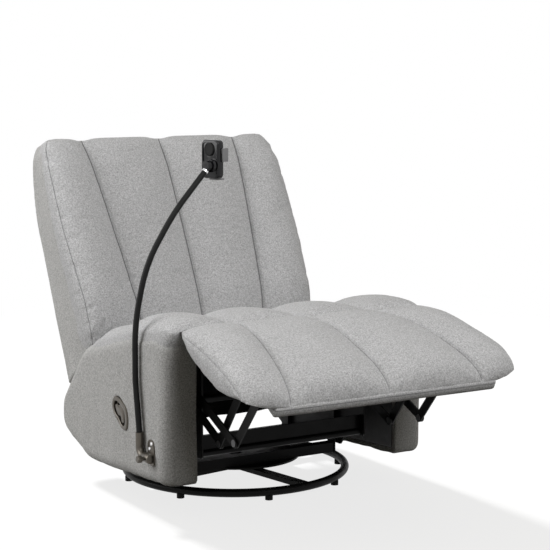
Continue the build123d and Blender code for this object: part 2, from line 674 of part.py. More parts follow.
# Footrest and the linkage that carries it: two parallelograms on the crease's axis
def footrest_parts():
    lift = footrest_point(LIFT_S, LINK_PIVOT_N)
    carry = footrest_point(CARRY_S, LINK_PIVOT_N)
    drive_knee = (lift[0] + DRIVE_PIVOT[0] - CREASE[0], lift[1] + DRIVE_PIVOT[1] - CREASE[1])
    idler_knee = (carry[0] + IDLER_PIVOT[0] - CREASE[0], carry[1] + IDLER_PIVOT[1] - CREASE[1])
    tight = RIVET_R + SEATED
    free = RIVET_R + RUN
    drive = link(DRIVE_PIVOT, drive_knee, 1, DRIVE_TUBE_R + SEATED, tight)
    collar = disc(DRIVE_PIVOT, DRIVE_TUBE_R + LINK_W / 4) - disc(DRIVE_PIVOT, DRIVE_TUBE_R + SEATED)
    drive += slab(collar, *layer(1))
    tube_x = layer(1)[1] + DRIVE_TUBE_END
    brackets = outline(
        footrest_point(BRACKET_S0, board_low(BRACKET_S0)),
        footrest_point(BRACKET_S1, board_low(BRACKET_S1)),
        footrest_point(BRACKET_S1, BRACKET_LOW_N),
        footrest_point(BRACKET_S0, BRACKET_LOW_N),
        radius=[0, 0, LINK_W / 3, LINK_W / 3],
    )
    brackets = slab(brackets - disc(lift, tight) - disc(carry, tight), *layer(3))
    flange = outline(
        footrest_point(BRACKET_S0, board_low(BRACKET_S0)),
        footrest_point(BRACKET_S1, board_low(BRACKET_S1)),
        footrest_point(BRACKET_S1, board_low(BRACKET_S1) - STEEL),
        footrest_point(BRACKET_S0, board_low(BRACKET_S0) - STEEL),
    )
    brackets += slab(flange, layer(3)[0], layer(3)[0] + BRACKET_FLANGE_W)
    board = outline(
        footrest_point(BOARD_S0, board_low(BOARD_S0)),
        footrest_point(BOARD_S1, board_low(BOARD_S1)),
        footrest_point(BOARD_S1, board_top(BOARD_S1)),
        footrest_point(BOARD_S0, board_top(BOARD_S0)),
    )
    pad = quilted(
        [(s, w, *[h - board_top(s) for h in heights]) for s, w, *heights in FOOT_ROWS],
        FOOT_SEAM_REAR_X,
        FOOT_SEAM_FRONT_X,
        lambda s: board_top(s) + SOFT_GAP,
        lambda s, x, n: (x, *footrest_point(s, n)),
    )
    return {
        "drive_tube": [slab(disc(DRIVE_PIVOT, DRIVE_TUBE_R), -tube_x, tube_x)],
        "drive_links": both(drive),
        "drive_rivets": both(rivet(drive_knee, 1, 2)),
        "lift_links": both(link(drive_knee, lift, 2, free, free)),
        "idler_links": both(link(IDLER_PIVOT, idler_knee, 5, free, tight)),
        "idler_rivets": both(rivet(idler_knee, 5, 4)),
        "carry_links": both(link(idler_knee, carry, 4, free, free)),
        "footrest_brackets": both(brackets),
        "footrest_rivets": both(rivet(lift, 3, 2)) + both(rivet(carry, 3, 4)),
        "footrest_board": [slab(board, -FOOT_BOARD_HALF_W, FOOT_BOARD_HALF_W)],
        "footrest_pad": [pad],
    }


# Back
def back_box(f0, f1, u0, u1, x0, x1):
    """A block of the back's frame."""
    corners = [back_point(f, u) for f, u in ((f0, u0), (f1, u0), (f1, u1), (f0, u1))]
    return slab(outline(*corners), x0, x1)


def cover_profile(inset):
    """Side outline of the rear cover, moved in from its rear and top by a wall."""
    rear = COVER_REAR_F + inset
    bend = (COVER_BEND_MID[0] + inset, COVER_BEND_MID[1] - inset / 2)
    top = (COVER_TOP_REAR[0] + inset / 2, COVER_TOP_REAR[1] - inset)
    foot = -4 * inset
    front = COVER_FRONT_F + 4 * inset
    corners = [
        back_point(front, COVER_FOOT_FRONT_U + foot),
        back_point(rear, COVER_FOOT_REAR_U + foot),
        back_point(rear, COVER_BEND_U),
        back_point(*top),
        back_point(front, COVER_TOP_U - inset),
    ]
    arc = ThreePointArc(corners[2], back_point(*bend), corners[3])
    edges = [Line(corners[0], corners[1]), Line(corners[1], corners[2]), arc]
    edges += [Line(corners[3], corners[4]), Line(corners[4], corners[0])]
    return make_face(edges)


def back_parts():
    cover = slab(cover_profile(0), -COVER_HALF_W, COVER_HALF_W)
    cover -= slab(cover_profile(COVER_WALL), COVER_WALL - COVER_HALF_W, COVER_HALF_W - COVER_WALL)
    bracket_x = layer(1)
    post_f = (COVER_FRONT_F - POST_D, COVER_FRONT_F - SOFT_GAP)
    posts = both(back_box(*post_f, POST_FOOT_U, POST_TOP_U, bracket_x[1], bracket_x[1] + POST_W))
    rails = []
    for u, reach in (
        (POST_FOOT_U, bracket_x[0]),
        (BACK_MID_RAIL_U, bracket_x[1]),
        (POST_TOP_U - BACK_RAIL_H, bracket_x[1]),
    ):
        rails.append(back_box(*post_f, u, u + BACK_RAIL_H, -reach, reach))
    pivot_f = (BACK_DATUM[0] - BACK_PIVOT[0]) * BACK_COS + (BACK_PIVOT[1] - BACK_DATUM[1]) * BACK_SIN
    pivot_u = (BACK_PIVOT[0] - BACK_DATUM[0]) * BACK_SIN + (BACK_PIVOT[1] - BACK_DATUM[1]) * BACK_COS
    lobe = LINK_W * 0.75
    bracket = outline(
        back_point(pivot_f - lobe, pivot_u + lobe / 2),
        back_point(pivot_f, pivot_u - lobe),
        back_point(pivot_f + lobe, pivot_u),
        back_point(post_f[1], POST_FOOT_U),
        back_point(post_f[1], POST_FOOT_U + 4 * BACK_RAIL_H),
        back_point(post_f[0], POST_FOOT_U + 4 * BACK_RAIL_H),
        back_point(post_f[0], POST_FOOT_U + BACK_RAIL_H),
        radius=LINK_W / 4,
    )
    bracket -= disc(BACK_PIVOT, RIVET_R + RUN)
    cushion = quilted(
        [(u, w, *[h - COVER_FRONT_F for h in heights]) for u, w, *heights in BACK_ROWS],
        BACK_SEAM_LOW_X,
        BACK_SEAM_TOP_X,
        lambda u: COVER_FRONT_F + SOFT_GAP,
        lambda u, x, f: (x, *back_point(f, u)),
    )
    return {
        "back_brackets": both(slab(bracket, *bracket_x)),
        "back_posts": posts,
        "back_rails": rails,
        "back_cover": [cover],
        "back_cushion": [cushion],
    }


# Phone holder: bracket on the panel, elbow, gooseneck, and a clamp on a ball
def rod_y(x, z, radius, y0, y1):
    """A round bar along Y."""
    return Pos(x, (y0 + y1) / 2, z) * Rot(90, 0, 0) * Cylinder(radius, y1 - y0)


def holder_parts():
    face_x = -PANEL_OUT_X
    boss_y = (BOSS_FRONT_Y + BOSS_REAR_Y) / 2
    plate_w = BOSS_REAR_Y - BOSS_FRONT_Y
    plate_h = HOLDER_PLATE_Z1 - HOLDER_PLATE_Z0
    plate = Box(HOLDER_PLATE_T, plate_w, plate_h)
    plate = fillet(plate.edges().filter_by(Axis.X), plate_w / 4)
    plate_z = (HOLDER_PLATE_Z0 + HOLDER_PLATE_Z1) / 2
    bracket = Pos(face_x - HOLDER_PLATE_T / 2, boss_y, plate_z) * plate
    boss = rod_y(ARM_X, ARM_PIVOT_Z, BOSS_R, BOSS_FRONT_Y, BOSS_REAR_Y)
    web_x = (face_x + ARM_X) / 2
    boss += Pos(web_x, boss_y, ARM_PIVOT_Z) * Box(face_x - ARM_X, plate_w, 2 * BOSS_R)
    bracket += boss
    bracket -= rod_y(ARM_X, ARM_PIVOT_Z, SPIGOT_R + RUN, BOSS_FRONT_Y, BOSS_REAR_Y)
    outer_x = ARM_X - BOSS_R
    bracket -= slab(disc((boss_y, ARM_PIVOT_Z), THUMB_SHANK_R + RUN), outer_x, ARM_X)
    screws = []
    for across, up in HOLDER_SCREWS:
        point = (boss_y + across, ARM_PIVOT_Z + up)
        bracket -= slab(disc(point, HOLDER_SCREW_R + SEATED), face_x - HOLDER_PLATE_T, face_x)
        shank = slab(disc(point, HOLDER_SCREW_R), face_x - HOLDER_PLATE_T, face_x)
        head_x = face_x - HOLDER_PLATE_T - HOLDER_SCREW_HEAD_T
        screws.append(shank + slab(disc(point, HOLDER_SCREW_HEAD_R), head_x, face_x - HOLDER_PLATE_T))
    tip_x = ARM_X - SPIGOT_R - SOFT_GAP
    neck_x = outer_x - THUMB_NECK_L
    thumb = slab(disc((boss_y, ARM_PIVOT_Z), THUMB_SHANK_R), neck_x, tip_x)
    thumb += slab(disc((boss_y, ARM_PIVOT_Z), THUMB_KNOB_R), neck_x - THUMB_KNOB_L, neck_x)
    elbow_path = FilletPolyline(
        (ARM_X, BOSS_REAR_Y + SOFT_GAP, ARM_PIVOT_Z),
        (ARM_X, ARM_Y, ARM_PIVOT_Z),
        (ARM_X, ARM_Y, ELBOW_TOP_Z),
        radius=[ELBOW_BEND_R],
    )
    elbow = sweep(Plane(elbow_path @ 0, z_dir=elbow_path % 0) * Circle(ELBOW_R), path=elbow_path)
    elbow += rod_y(ARM_X, ARM_PIVOT_Z, SPIGOT_R, BOSS_FRONT_Y, BOSS_REAR_Y + 2 * SOFT_GAP)
    route = [(ARM_X, ARM_Y, ELBOW_TOP_Z)]
    ball = (ARM_X + CLAMP_REACH, CLAMP_Y, CLAMP_HEIGHT)
    route += [(ARM_X + inward, CLAMP_Y, ELBOW_TOP_Z + up) for inward, up in GOOSENECK]
    route.append(ball)
    path = FilletPolyline(*route, radius=GOOSENECK_R)
    tube = sweep(Plane(path @ 0, z_dir=path % 0) * Circle(ARM_TUBE_R), path=path)
    clamp_plane = Plane(ball, x_dir=Vector(1, 0, 0).rotate(Axis.Z, CLAMP_YAW), z_dir=(0, 0, 1))
    shell = clamp_plane * rod_y(0, 0, SOCKET_R, -SOCKET_BACK, SOCKET_FRONT)
    gooseneck = (tube - shell - elbow).solids().sort_by(SortBy.VOLUME)[-1]
    socket = rod_y(0, 0, SOCKET_R, -SOCKET_BACK, SOCKET_FRONT) - Sphere(BALL_STUD_R + RUN)
    socket -= rod_y(0, 0, SOCKET_MOUTH_R, 0, SOCKET_FRONT)
    ring_r = SOCKET_R + SOFT_GAP
    collar = rod_y(0, 0, ring_r + COLLAR_T, COLLAR_FROM, COLLAR_TO)
    collar -= rod_y(0, 0, ring_r, COLLAR_FROM, COLLAR_TO)
    return clamp_plane, {
        "holder_bracket": [bracket],
        "holder_screws": screws,
        "thumb_screw": [thumb],
        "holder_elbow": [elbow],
        "gooseneck": [gooseneck],
        "ball_socket": [clamp_plane * socket],
        "collar_nut": [clamp_plane * collar],
    }


def clamp_parts(plane):
    width = CLAMP_X1 - CLAMP_X0
    height = CLAMP_Z1 - CLAMP_Z0
    centre_x = (CLAMP_X0 + CLAMP_X1) / 2
    centre_y = CLAMP_Y0 + CLAMP_T / 2
    case = Box(width, CLAMP_T, height)
    case = fillet(case.edges().filter_by(Axis.Y), CLAMP_CORNER_R)
    case = fillet(case.faces().sort_by(Axis.Y)[0].edges(), CLAMP_EDGE_R)
    body = Pos(centre_x, centre_y, (CLAMP_Z0 + CLAMP_Z1) / 2) * case
    body += rod_y(0, 0, NECK_R, 0, CLAMP_Y0 + CLAMP_EDGE_R) + Sphere(BALL_STUD_R)
    body += rod_y(centre_x, KNOB_Z, KNOB_R, CLAMP_Y0 - KNOB_H, CLAMP_Y0 + CLAMP_EDGE_R)
    face_y = CLAMP_Y0 + CLAMP_T
    foot_l = CLAMP_T / 2 + CLAMP_FOOT_DEPTH
    foot = Box(CLAMP_FOOT_W, foot_l, CLAMP_FOOT_T)
    body += Pos(centre_x, face_y + CLAMP_FOOT_DEPTH - foot_l / 2, CLAMP_Z0 - CLAMP_FOOT_T / 2) * foot
    slot_t = JAW_BAR_T + 2 * SOFT_GAP
    slot_w = JAW_BAR_W + 2 * SOFT_GAP
    bar_y = face_y - JAW_BAR_T - SOFT_GAP * 4
    nodes = {}
    for name, side, z, end in (
        ("clamp_jaw_left", -1, JAW_Z[0], CLAMP_X0),
        ("clamp_jaw_right", 1, JAW_Z[1], CLAMP_X1),
    ):
        reach = JAW_BAR_L + JAW_GAP + SOFT_GAP
        body -= Pos(end - side * reach / 2, bar_y, z) * Box(reach, slot_t, slot_w)
        bar_l = JAW_BAR_L + JAW_GAP
        bar = Pos(end + side * (JAW_GAP - bar_l / 2), bar_y, z) * Box(bar_l, JAW_BAR_T, JAW_BAR_W)
        pad_y = bar_y - JAW_BAR_T / 2 + JAW_PAD_DEPTH / 2
        pad_x = end + side * (JAW_GAP + JAW_PAD_T / 2)
        pad = Pos(pad_x, pad_y, sum(JAW_Z) / 2) * Box(JAW_PAD_T, JAW_PAD_DEPTH, JAW_PAD_H)
        nodes[name] = [plane * (bar + pad)]
    nodes["clamp_body"] = [plane * body]
    return nodes


def main():
    nodes = {}
    makers = [base_parts, swivel_parts, swing_arm_parts, mechanism_parts, seat_parts]
    makers += [fold_fabric_parts, panel_parts, footrest_parts, back_parts]
    for make in makers:
        nodes.update(make())
    clamp_plane, holder = holder_parts()
    nodes.update(holder)
    nodes.update(clamp_parts(clamp_plane))
    os.makedirs("parts", exist_ok=True)
    for name, pieces in nodes.items():
        solids = [solid for piece in pieces for solid in piece.solids()]
        shape = solids[0] if len(solids) == 1 else Compound(children=solids)
        export_step(shape, f"parts/{name}.step")
    print(len(nodes), "nodes")


main()
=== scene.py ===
"""Looks of an armless swivel glider recliner with a phone holder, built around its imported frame."""

import json
import logging
import math
from dataclasses import dataclass
from enum import Enum
from typing import Any, Callable, Optional

import bmesh
import bpy
import numpy as np
from mathutils import Matrix, Vector, noise


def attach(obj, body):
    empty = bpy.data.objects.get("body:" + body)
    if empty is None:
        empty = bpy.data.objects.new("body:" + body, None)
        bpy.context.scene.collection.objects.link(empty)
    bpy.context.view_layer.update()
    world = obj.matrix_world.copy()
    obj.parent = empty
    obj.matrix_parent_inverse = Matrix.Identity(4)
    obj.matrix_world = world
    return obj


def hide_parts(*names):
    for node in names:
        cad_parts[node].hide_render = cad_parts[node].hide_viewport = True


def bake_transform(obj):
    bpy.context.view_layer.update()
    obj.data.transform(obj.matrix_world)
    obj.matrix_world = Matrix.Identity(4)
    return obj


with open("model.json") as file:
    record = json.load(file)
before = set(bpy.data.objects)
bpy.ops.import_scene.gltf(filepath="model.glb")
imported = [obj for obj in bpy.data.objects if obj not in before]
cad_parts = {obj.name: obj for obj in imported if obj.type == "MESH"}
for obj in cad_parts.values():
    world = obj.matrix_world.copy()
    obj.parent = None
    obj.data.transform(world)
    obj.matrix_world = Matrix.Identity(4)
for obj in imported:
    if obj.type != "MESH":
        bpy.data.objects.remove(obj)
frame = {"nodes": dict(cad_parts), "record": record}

LOG = logging.getLogger("recliner")
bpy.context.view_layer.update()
MM = 0.001
SIM_FRAMES = 20

Socket = bpy.types.NodeSocket
Colour = tuple[float, float, float]
Point = tuple[float, float, float]
Outline = list[tuple[float, float]]
Amount = float | np.ndarray
Field = Callable[[np.ndarray], np.ndarray]


class Slot(Enum):
    """Material slots of the record, passed along with new pieces."""

    FABRIC = "grey_fabric"
    PANEL = "panel_fabric"
    FOAM = "foam"
    BRONZE = "bronze_trim"
    GLOSS = "gloss_black"
    BRIGHT = "bright_metal"
    JAW = "jaw_grey"
    BLACK = "black_plastic"


class Graph:
    """A shorthand for placing and joining shader nodes in one tree."""

    def __init__(self, tree: bpy.types.NodeTree) -> None:
        """Wrap a node tree.

        Args:
            tree: The tree that the nodes go into.
        """
        self.tree = tree

    def node(self, kind: str, inputs: Optional[dict[str, Any]] = None, **settings: Any) -> bpy.types.Node:
        """Add a node.

        Args:
            kind: The node's type name.
            inputs: Socket names with a value, or a socket to link from.
            settings: Attributes of the node itself.

        Returns:
            The new node.
        """
        new = self.tree.nodes.new(kind)
        for name, value in settings.items():
            setattr(new, name, value)
        for name, value in (inputs or {}).items():
            self.feed(new.inputs[name], value)
        return new

    def feed(self, socket: Socket, value: Any) -> None:
        """Link a socket into another, or set it to a plain value."""
        if isinstance(value, bpy.types.NodeSocket):
            self.tree.links.new(value, socket)
        else:
            socket.default_value = value

    def math(self, operation: str, first: Any, second: Any = 0.0) -> Socket:
        """Add a Math node and return what it puts out."""
        new = self.tree.nodes.new("ShaderNodeMath")
        new.operation = operation
        self.feed(new.inputs[0], first)
        self.feed(new.inputs[1], second)
        return new.outputs[0]

    def ramp(
        self, value: Socket, low: float, high: float, to_low: float = 0.0, to_high: float = 1.0
    ) -> Socket:
        """Stretch a range of values onto another and return the result."""
        inputs = {"Value": value, "From Min": low, "From Max": high, "To Min": to_low, "To Max": to_high}
        return self.node("ShaderNodeMapRange", inputs).outputs["Result"]

    def place(self) -> Socket:
        """The place on the piece, in its own coordinates."""
        return self.node("ShaderNodeTexCoord").outputs["Object"]

    def noise(self, place: Socket, scale: Any, detail: float, roughness: float = 0.5) -> Socket:
        """Add a noise texture and return its values."""
        inputs = {"Vector": place, "Scale": scale, "Detail": detail, "Roughness": roughness}
        return self.node("ShaderNodeTexNoise", inputs).outputs["Fac"]

    def mix(self, factor: Any, first: Any, second: Any, blend: str = "MIX") -> Socket:
        """Mix two colours and return the result."""
        new = self.node("ShaderNodeMix", data_type="RGBA", blend_type=blend)
        self.feed(new.inputs[0], factor)
        self.feed(new.inputs[6], first)
        self.feed(new.inputs[7], second)
        return new.outputs[2]


class EffectGroups:
    """Node groups that several finishes share, each built once."""

    @staticmethod
    def shared(
        name: str, inputs: dict[str, float], fill: Callable[[Graph, Any], dict[str, Socket]]
    ) -> bpy.types.NodeTree:
        """Return a group of float sockets, building it the first time.

        Args:
            name: The group's name.
            inputs: Input names with their defaults.
            fill: Adds the nodes, given the graph and the inputs, and returns the results by name.

        Returns:
            The group.
        """
        existing = bpy.data.node_groups.get(name)
        if existing:
            return existing
        group = bpy.data.node_groups.new(name, "ShaderNodeTree")
        for label, default in inputs.items():
            socket = group.interface.new_socket(name=label, in_out="INPUT", socket_type="NodeSocketFloat")
            socket.default_value = default
        graph = Graph(group)
        results = fill(graph, graph.node("NodeGroupInput").outputs)
        for label in results:
            group.interface.new_socket(name=label, in_out="OUTPUT", socket_type="NodeSocketFloat")
        leave = graph.node("NodeGroupOutput")
        for label, result in results.items():
            graph.feed(leave.inputs[label], result)
        return group

    @classmethod
    def weave(cls) -> bpy.types.NodeTree:
        """A plain weave laid on the three planes of space, blended by which way the surface faces.

        Returns:
            A group that puts out the height of the threads.
        """

        def fill(graph: Graph, given: Any) -> dict[str, Socket]:
            """Cross the threads of each plane and add them by that plane's share."""
            spots = graph.node("ShaderNodeSeparateXYZ", {"Vector": graph.place()}).outputs
            faces = graph.node("ShaderNodeNewGeometry").outputs["Normal"]
            turned = graph.node("ShaderNodeSeparateXYZ", {"Vector": faces}).outputs
            pace = graph.math("DIVIDE", 2 * math.pi, given["Thread"])
            waves = [graph.math("SINE", graph.math("MULTIPLY", spot, pace)) for spot in spots]
            shares = [graph.math("POWER", graph.math("ABSOLUTE", side), 4.0) for side in turned]
            total = graph.math("ADD", graph.math("ADD", shares[0], shares[1]), shares[2])
            height: Any = 0.0
            for axis in range(3):
                cloth = graph.math("MULTIPLY", waves[(axis + 1) % 3], waves[(axis + 2) % 3])
                part = graph.math("MULTIPLY", cloth, graph.math("DIVIDE", shares[axis], total))
                height = graph.math("ADD", height, part)
            return {"Height": graph.math("MULTIPLY", height, 0.5)}

        return cls.shared("thread weave", {"Thread": 0.0016}, fill)

    @classmethod
    def heather(cls) -> bpy.types.NodeTree:
        """Uneven yarn: flecks of lighter and darker fibre over slow patches.

        Returns:
            A group that puts out how light the yarn is, from 0 to 1.
        """

        def fill(graph: Graph, given: Any) -> dict[str, Socket]:
            """Add noise of three sizes, each by its weight."""
            place = graph.place()
            fleck = graph.noise(place, given["Fleck"], 3.0)
            slub = graph.noise(place, given["Slub"], 2.0)
            patch = graph.noise(place, given["Patch"], 2.0)
            flecks = graph.math("MULTIPLY", graph.ramp(fleck, 0.32, 0.68), 0.4)
            slubs = graph.math("MULTIPLY", graph.ramp(slub, 0.34, 0.66), 0.55)
            patches = graph.math("MULTIPLY", graph.ramp(patch, 0.25, 0.75), 0.05)
            return {"Lightness": graph.math("ADD", graph.math("ADD", flecks, slubs), patches)}

        return cls.shared("heather yarn", {"Fleck": 620.0, "Slub": 300.0, "Patch": 14.0}, fill)

    @classmethod
    def sewing(cls) -> bpy.types.NodeTree:
        """Seams of a cushion, from the distance and the run along them that its points carry.

        Returns:
            A group that puts out where painted crease shade darkens the seams, and the height of the gathers
            beside them.
        """

        def fill(graph: Graph, given: Any) -> dict[str, Socket]:
            """Draw a thin line of painted crease shade at the seam and let uneven waves fade out beside it.
            """
            sewn, seam, run = (
                graph.node("ShaderNodeAttribute", attribute_name=name).outputs["Fac"]
                for name in ("sewn", "seam", "run")
            )
            away = graph.math("ABSOLUTE", seam)
            # Painted shade: a thin dark line where the seam's crease falls in shadow.
            line = graph.math("MULTIPLY", sewn, graph.ramp(away, 0.0008, 0.002, 1.0, 0.0))
            stray = graph.noise(graph.place(), 38.0, 1.0)
            phase = graph.math("MULTIPLY", graph.math("DIVIDE", run, given["Step"]), 2 * math.pi)
            wave = graph.math("SINE", graph.math("ADD", phase, graph.math("MULTIPLY", stray, 9.0)))
            beside = graph.math("POWER", graph.ramp(away, 0.001, 0.026, 1.0, 0.0), 2.0)
            uneven = graph.math("MULTIPLY", beside, graph.ramp(stray, 0.35, 0.65, 0.2, 1.0))
            depth = graph.math("MULTIPLY", graph.math("MULTIPLY", sewn, given["Depth"]), uneven)
            return {"Line": line, "Height": graph.math("MULTIPLY", wave, depth)}

        return cls.shared("sewn seams", {"Step": 0.012, "Depth": 0.0004}, fill)

    @classmethod
    def scuff(cls) -> bpy.types.NodeTree:
        """Rubbed places and fine specks on a hard coat.

        Returns:
            A group that puts out how rubbed the coat is and the height of its grain.
        """

        def fill(graph: Graph, given: Any) -> dict[str, Socket]:
            """Add broad rubbed patches and a fine grain."""
            place = graph.place()
            patch = graph.noise(place, given["Patch"], 6.0, roughness=0.7)
            return {"Rub": graph.ramp(patch, 0.42, 0.72), "Height": graph.noise(place, given["Grain"], 1.0)}

        return cls.shared("coat scuffs", {"Patch": 22.0, "Grain": 900.0}, fill)


@dataclass(frozen=True)
class Finish:
    """A surface finish, made into one material that its pieces share."""

    name: str
    colour: Colour

    def material(self) -> bpy.types.Material:
        """Return the finish's material, building it the first time."""
        existing = bpy.data.materials.get(self.name)
        if existing:
            return existing
        material = bpy.data.materials.new(self.name)
        material.use_nodes = True
        graph = Graph(material.node_tree)
        shader = material.node_tree.nodes["Principled BSDF"]
        self.dress(graph, shader)
        return material

    def dress(self, graph: Graph, shader: bpy.types.Node) -> None:
        """Fill the material's tree.

        Args:
            graph: The tree to add nodes to.
            shader: The Principled BSDF to feed.
        """
        raise NotImplementedError

    def tone(self, share: float) -> tuple[float, float, float, float]:
        """The colour made lighter or darker by a share."""
        return (*[min(1.0, part * share) for part in self.colour], 1.0)

    @staticmethod
    def bump(graph: Graph, shader: bpy.types.Node, height: Socket, strength: float, distance: float) -> None:
        """Raise the surface by a height."""
        inputs = {"Height": height, "Strength": strength, "Distance": distance}
        graph.feed(shader.inputs["Normal"], graph.node("ShaderNodeBump", inputs).outputs["Normal"])


@dataclass(frozen=True)
class WovenFabric(Finish):
    """Upholstery cloth of heathered yarn."""

    thread: float = 0.0017
    contrast: float = 0.5
    relief: float = 0.0006
    sheen: float = 0.12

    def dress(self, graph: Graph, shader: bpy.types.Node) -> None:
        """Weave the cloth from the shared thread and yarn groups, with painted shade in the weave's low
        places and along the seams.
        """
        weave = graph.node("ShaderNodeGroup", node_tree=EffectGroups.weave())
        weave.inputs["Thread"].default_value = self.thread
        yarn = graph.node("ShaderNodeGroup", node_tree=EffectGroups.heather())
        dark, light = self.tone(1 - self.contrast), self.tone(1 + self.contrast)
        colour = graph.mix(yarn.outputs["Lightness"], dark, light)
        # Painted shade: the low places between the threads are darkened, down to 0.55 of the colour.
        painted_weave_shade = graph.ramp(weave.outputs["Height"], -0.5, 0.3, 0.35, 0.0)
        colour = graph.mix(painted_weave_shade, colour, self.tone(0.55))
        sewing = graph.node("ShaderNodeGroup", node_tree=EffectGroups.sewing())
        # Painted shade: the seams' creases darkened to 0.24 of the colour.
        graph.feed(shader.inputs["Base Color"], graph.mix(sewing.outputs["Line"], colour, self.tone(0.24)))
        graph.feed(shader.inputs["Roughness"], graph.ramp(yarn.outputs["Lightness"], 0.0, 1.0, 0.96, 0.86))
        shader.inputs["Sheen Weight"].default_value = self.sheen
        shader.inputs["Sheen Roughness"].default_value = 0.5
        shader.inputs["Specular IOR Level"].default_value = 0.25
        threads = graph.math("MULTIPLY", weave.outputs["Height"], self.relief)
        self.bump(graph, shader, graph.math("ADD", threads, sewing.outputs["Height"]), 0.6, 1.0)


@dataclass(frozen=True)
class HardCoat(Finish):
    """Paint, plastic or metal with rubbed places and a fine grain."""

    metallic: float = 0.0
    smooth: float = 0.3
    rubbed: float = 0.5
    lift: float = 1.6
    grain: float = 0.00005
    coat: float = 0.0
    mirror: float = 0.5

    def dress(self, graph: Graph, shader: bpy.types.Node) -> None:
        """Vary colour and gloss by the shared scuff group."""
        scuff = graph.node("ShaderNodeGroup", node_tree=EffectGroups.scuff())
        colour = graph.mix(scuff.outputs["Rub"], self.tone(1.0), self.tone(self.lift))
        graph.feed(shader.inputs["Base Color"], colour)
        gloss = graph.ramp(scuff.outputs["Rub"], 0.0, 1.0, self.smooth, self.rubbed)
        graph.feed(shader.inputs["Roughness"], gloss)
        shader.inputs["Metallic"].default_value = self.metallic
        shader.inputs["Coat Weight"].default_value = self.coat
        shader.inputs["Specular IOR Level"].default_value = self.mirror
        self.bump(graph, shader, scuff.outputs["Height"], 0.3, self.grain)


@dataclass(frozen=True)
class SawnWood(Finish):
    """Raw frame timber with its grain along X."""

    def dress(self, graph: Graph, shader: bpy.types.Node) -> None:
        """Draw long growth lines with a noise stretched along the grain."""
        stretch = {"Vector": graph.place(), "Scale": (4.0, 60.0, 60.0)}
        drawn = graph.node("ShaderNodeMapping", stretch).outputs["Vector"]
        lines = graph.noise(drawn, 1.0, 5.0)
        light = graph.ramp(lines, 0.3, 0.7)
        graph.feed(shader.inputs["Base Color"], graph.mix(light, self.tone(0.75), self.tone(1.15)))
        graph.feed(shader.inputs["Roughness"], graph.ramp(light, 0.0, 1.0, 0.6, 0.75))
        self.bump(graph, shader, lines, 0.25, 0.0004)


@dataclass(frozen=True)
class CellFoam(Finish):
    """Open-cell foam."""

    cell: float = 700.0

    def dress(self, graph: Graph, shader: bpy.types.Node) -> None:
        """Pit the foam with small cells, with painted shade darkening the pits."""
        pits = {"Vector": graph.place(), "Scale": self.cell}
        cells = graph.node("ShaderNodeTexVoronoi", pits).outputs["Distance"]
        # Painted shade: darker towards the middle of each cell's pit.
        graph.feed(shader.inputs["Base Color"], graph.mix(cells, self.tone(0.7), self.tone(1.1)))
        shader.inputs["Roughness"].default_value = 0.95
        self.bump(graph, shader, cells, 0.6, 0.0008)


CLOTH = WovenFabric("cloth, light grey", (0.475, 0.475, 0.485))
PANEL_CLOTH = WovenFabric("cloth, panel grey", (0.455, 0.452, 0.448))
# Dust cloth whose near-black is partly painted shade: it darkens the openings under the seat where deep shade
# falls.
DUST_CLOTH_AND_SHADE = WovenFabric("dust cloth and painted shade, black", (0.006, 0.006, 0.006), thread=0.003, sheen=0.0)
STRAP = WovenFabric("seat strap", (0.1, 0.095, 0.09), thread=0.003, relief=0.0012)
BLACK_STEEL = HardCoat("black powder coat", (0.004, 0.004, 0.004), smooth=0.34, rubbed=0.55, mirror=0.09)
BARE_STEEL = HardCoat("dull zinc plate", (0.2, 0.2, 0.205), metallic=1.0, smooth=0.28, rubbed=0.45, lift=0.85)
RUBBER = HardCoat("black rubber", (0.012, 0.012, 0.012), smooth=0.75, rubbed=0.9, grain=0.0002, mirror=0.15)
TIMBER = SawnWood("frame timber", (0.5, 0.34, 0.19))
BLACK_BOARD = SawnWood("black stained board", (0.008, 0.008, 0.008))
FOAM = CellFoam("seat foam", (0.72, 0.66, 0.5))
BRONZE = HardCoat("bronze paint", (0.085, 0.075, 0.062), metallic=0.6, smooth=0.3, rubbed=0.42, lift=1.3)
MATT_BLACK = HardCoat("matt black plastic", (0.006, 0.006, 0.006), smooth=0.6, rubbed=0.75, mirror=0.15)
ARM_BLACK = HardCoat(
    "satin black arm", (0.008, 0.008, 0.008), smooth=0.42, rubbed=0.55, lift=1.4, mirror=0.12
)
GLOSS_BLACK = HardCoat(
    "gloss black plastic", (0.006, 0.006, 0.007), smooth=0.12, rubbed=0.24, coat=0.1, mirror=0.2
)
BRIGHT = HardCoat("polished metal", (0.72, 0.72, 0.73), metallic=1.0, smooth=0.12, rubbed=0.22, lift=0.95)
JAW_GREY = HardCoat("grey jaw plastic", (0.15, 0.15, 0.155), smooth=0.5, rubbed=0.62, lift=1.2)
# Painted highlight: the liner's pale grey stands in for a bright glint on the jaw's inner edge.
PAINTED_HIGHLIGHT_LINER = HardCoat("jaw liner, painted highlight", (0.55, 0.55, 0.55), smooth=0.6, rubbed=0.7, lift=1.1)

SLOT_FINISH: dict[str, Finish] = {
    "grey_fabric": CLOTH,
    "panel_fabric": PANEL_CLOTH,
    "webbing": STRAP,
    "black_steel": BLACK_STEEL,
    "bare_steel": BARE_STEEL,
    "pad_rubber": RUBBER,
    "frame_wood": TIMBER,
    "black_board": BLACK_BOARD,
    "foam": FOAM,
    "bronze_trim": BRONZE,
    "black_plastic": MATT_BLACK,
    "arm_black": ARM_BLACK,
    "gloss_black": GLOSS_BLACK,
    "bright_metal": BRIGHT,
    "jaw_grey": JAW_GREY,
}


def rise(values: np.ndarray, start: Amount, width: float) -> np.ndarray:
    """0 up to a start, then rising evenly to 1 over a width."""
    return np.clip((values - start) / width, 0.0, 1.0)


def bell(distance: np.ndarray, width: float) -> np.ndarray:
    """A hump of height 1 at a distance of 0, which falls off over a width."""
    return np.exp(-((distance / width) ** 2))


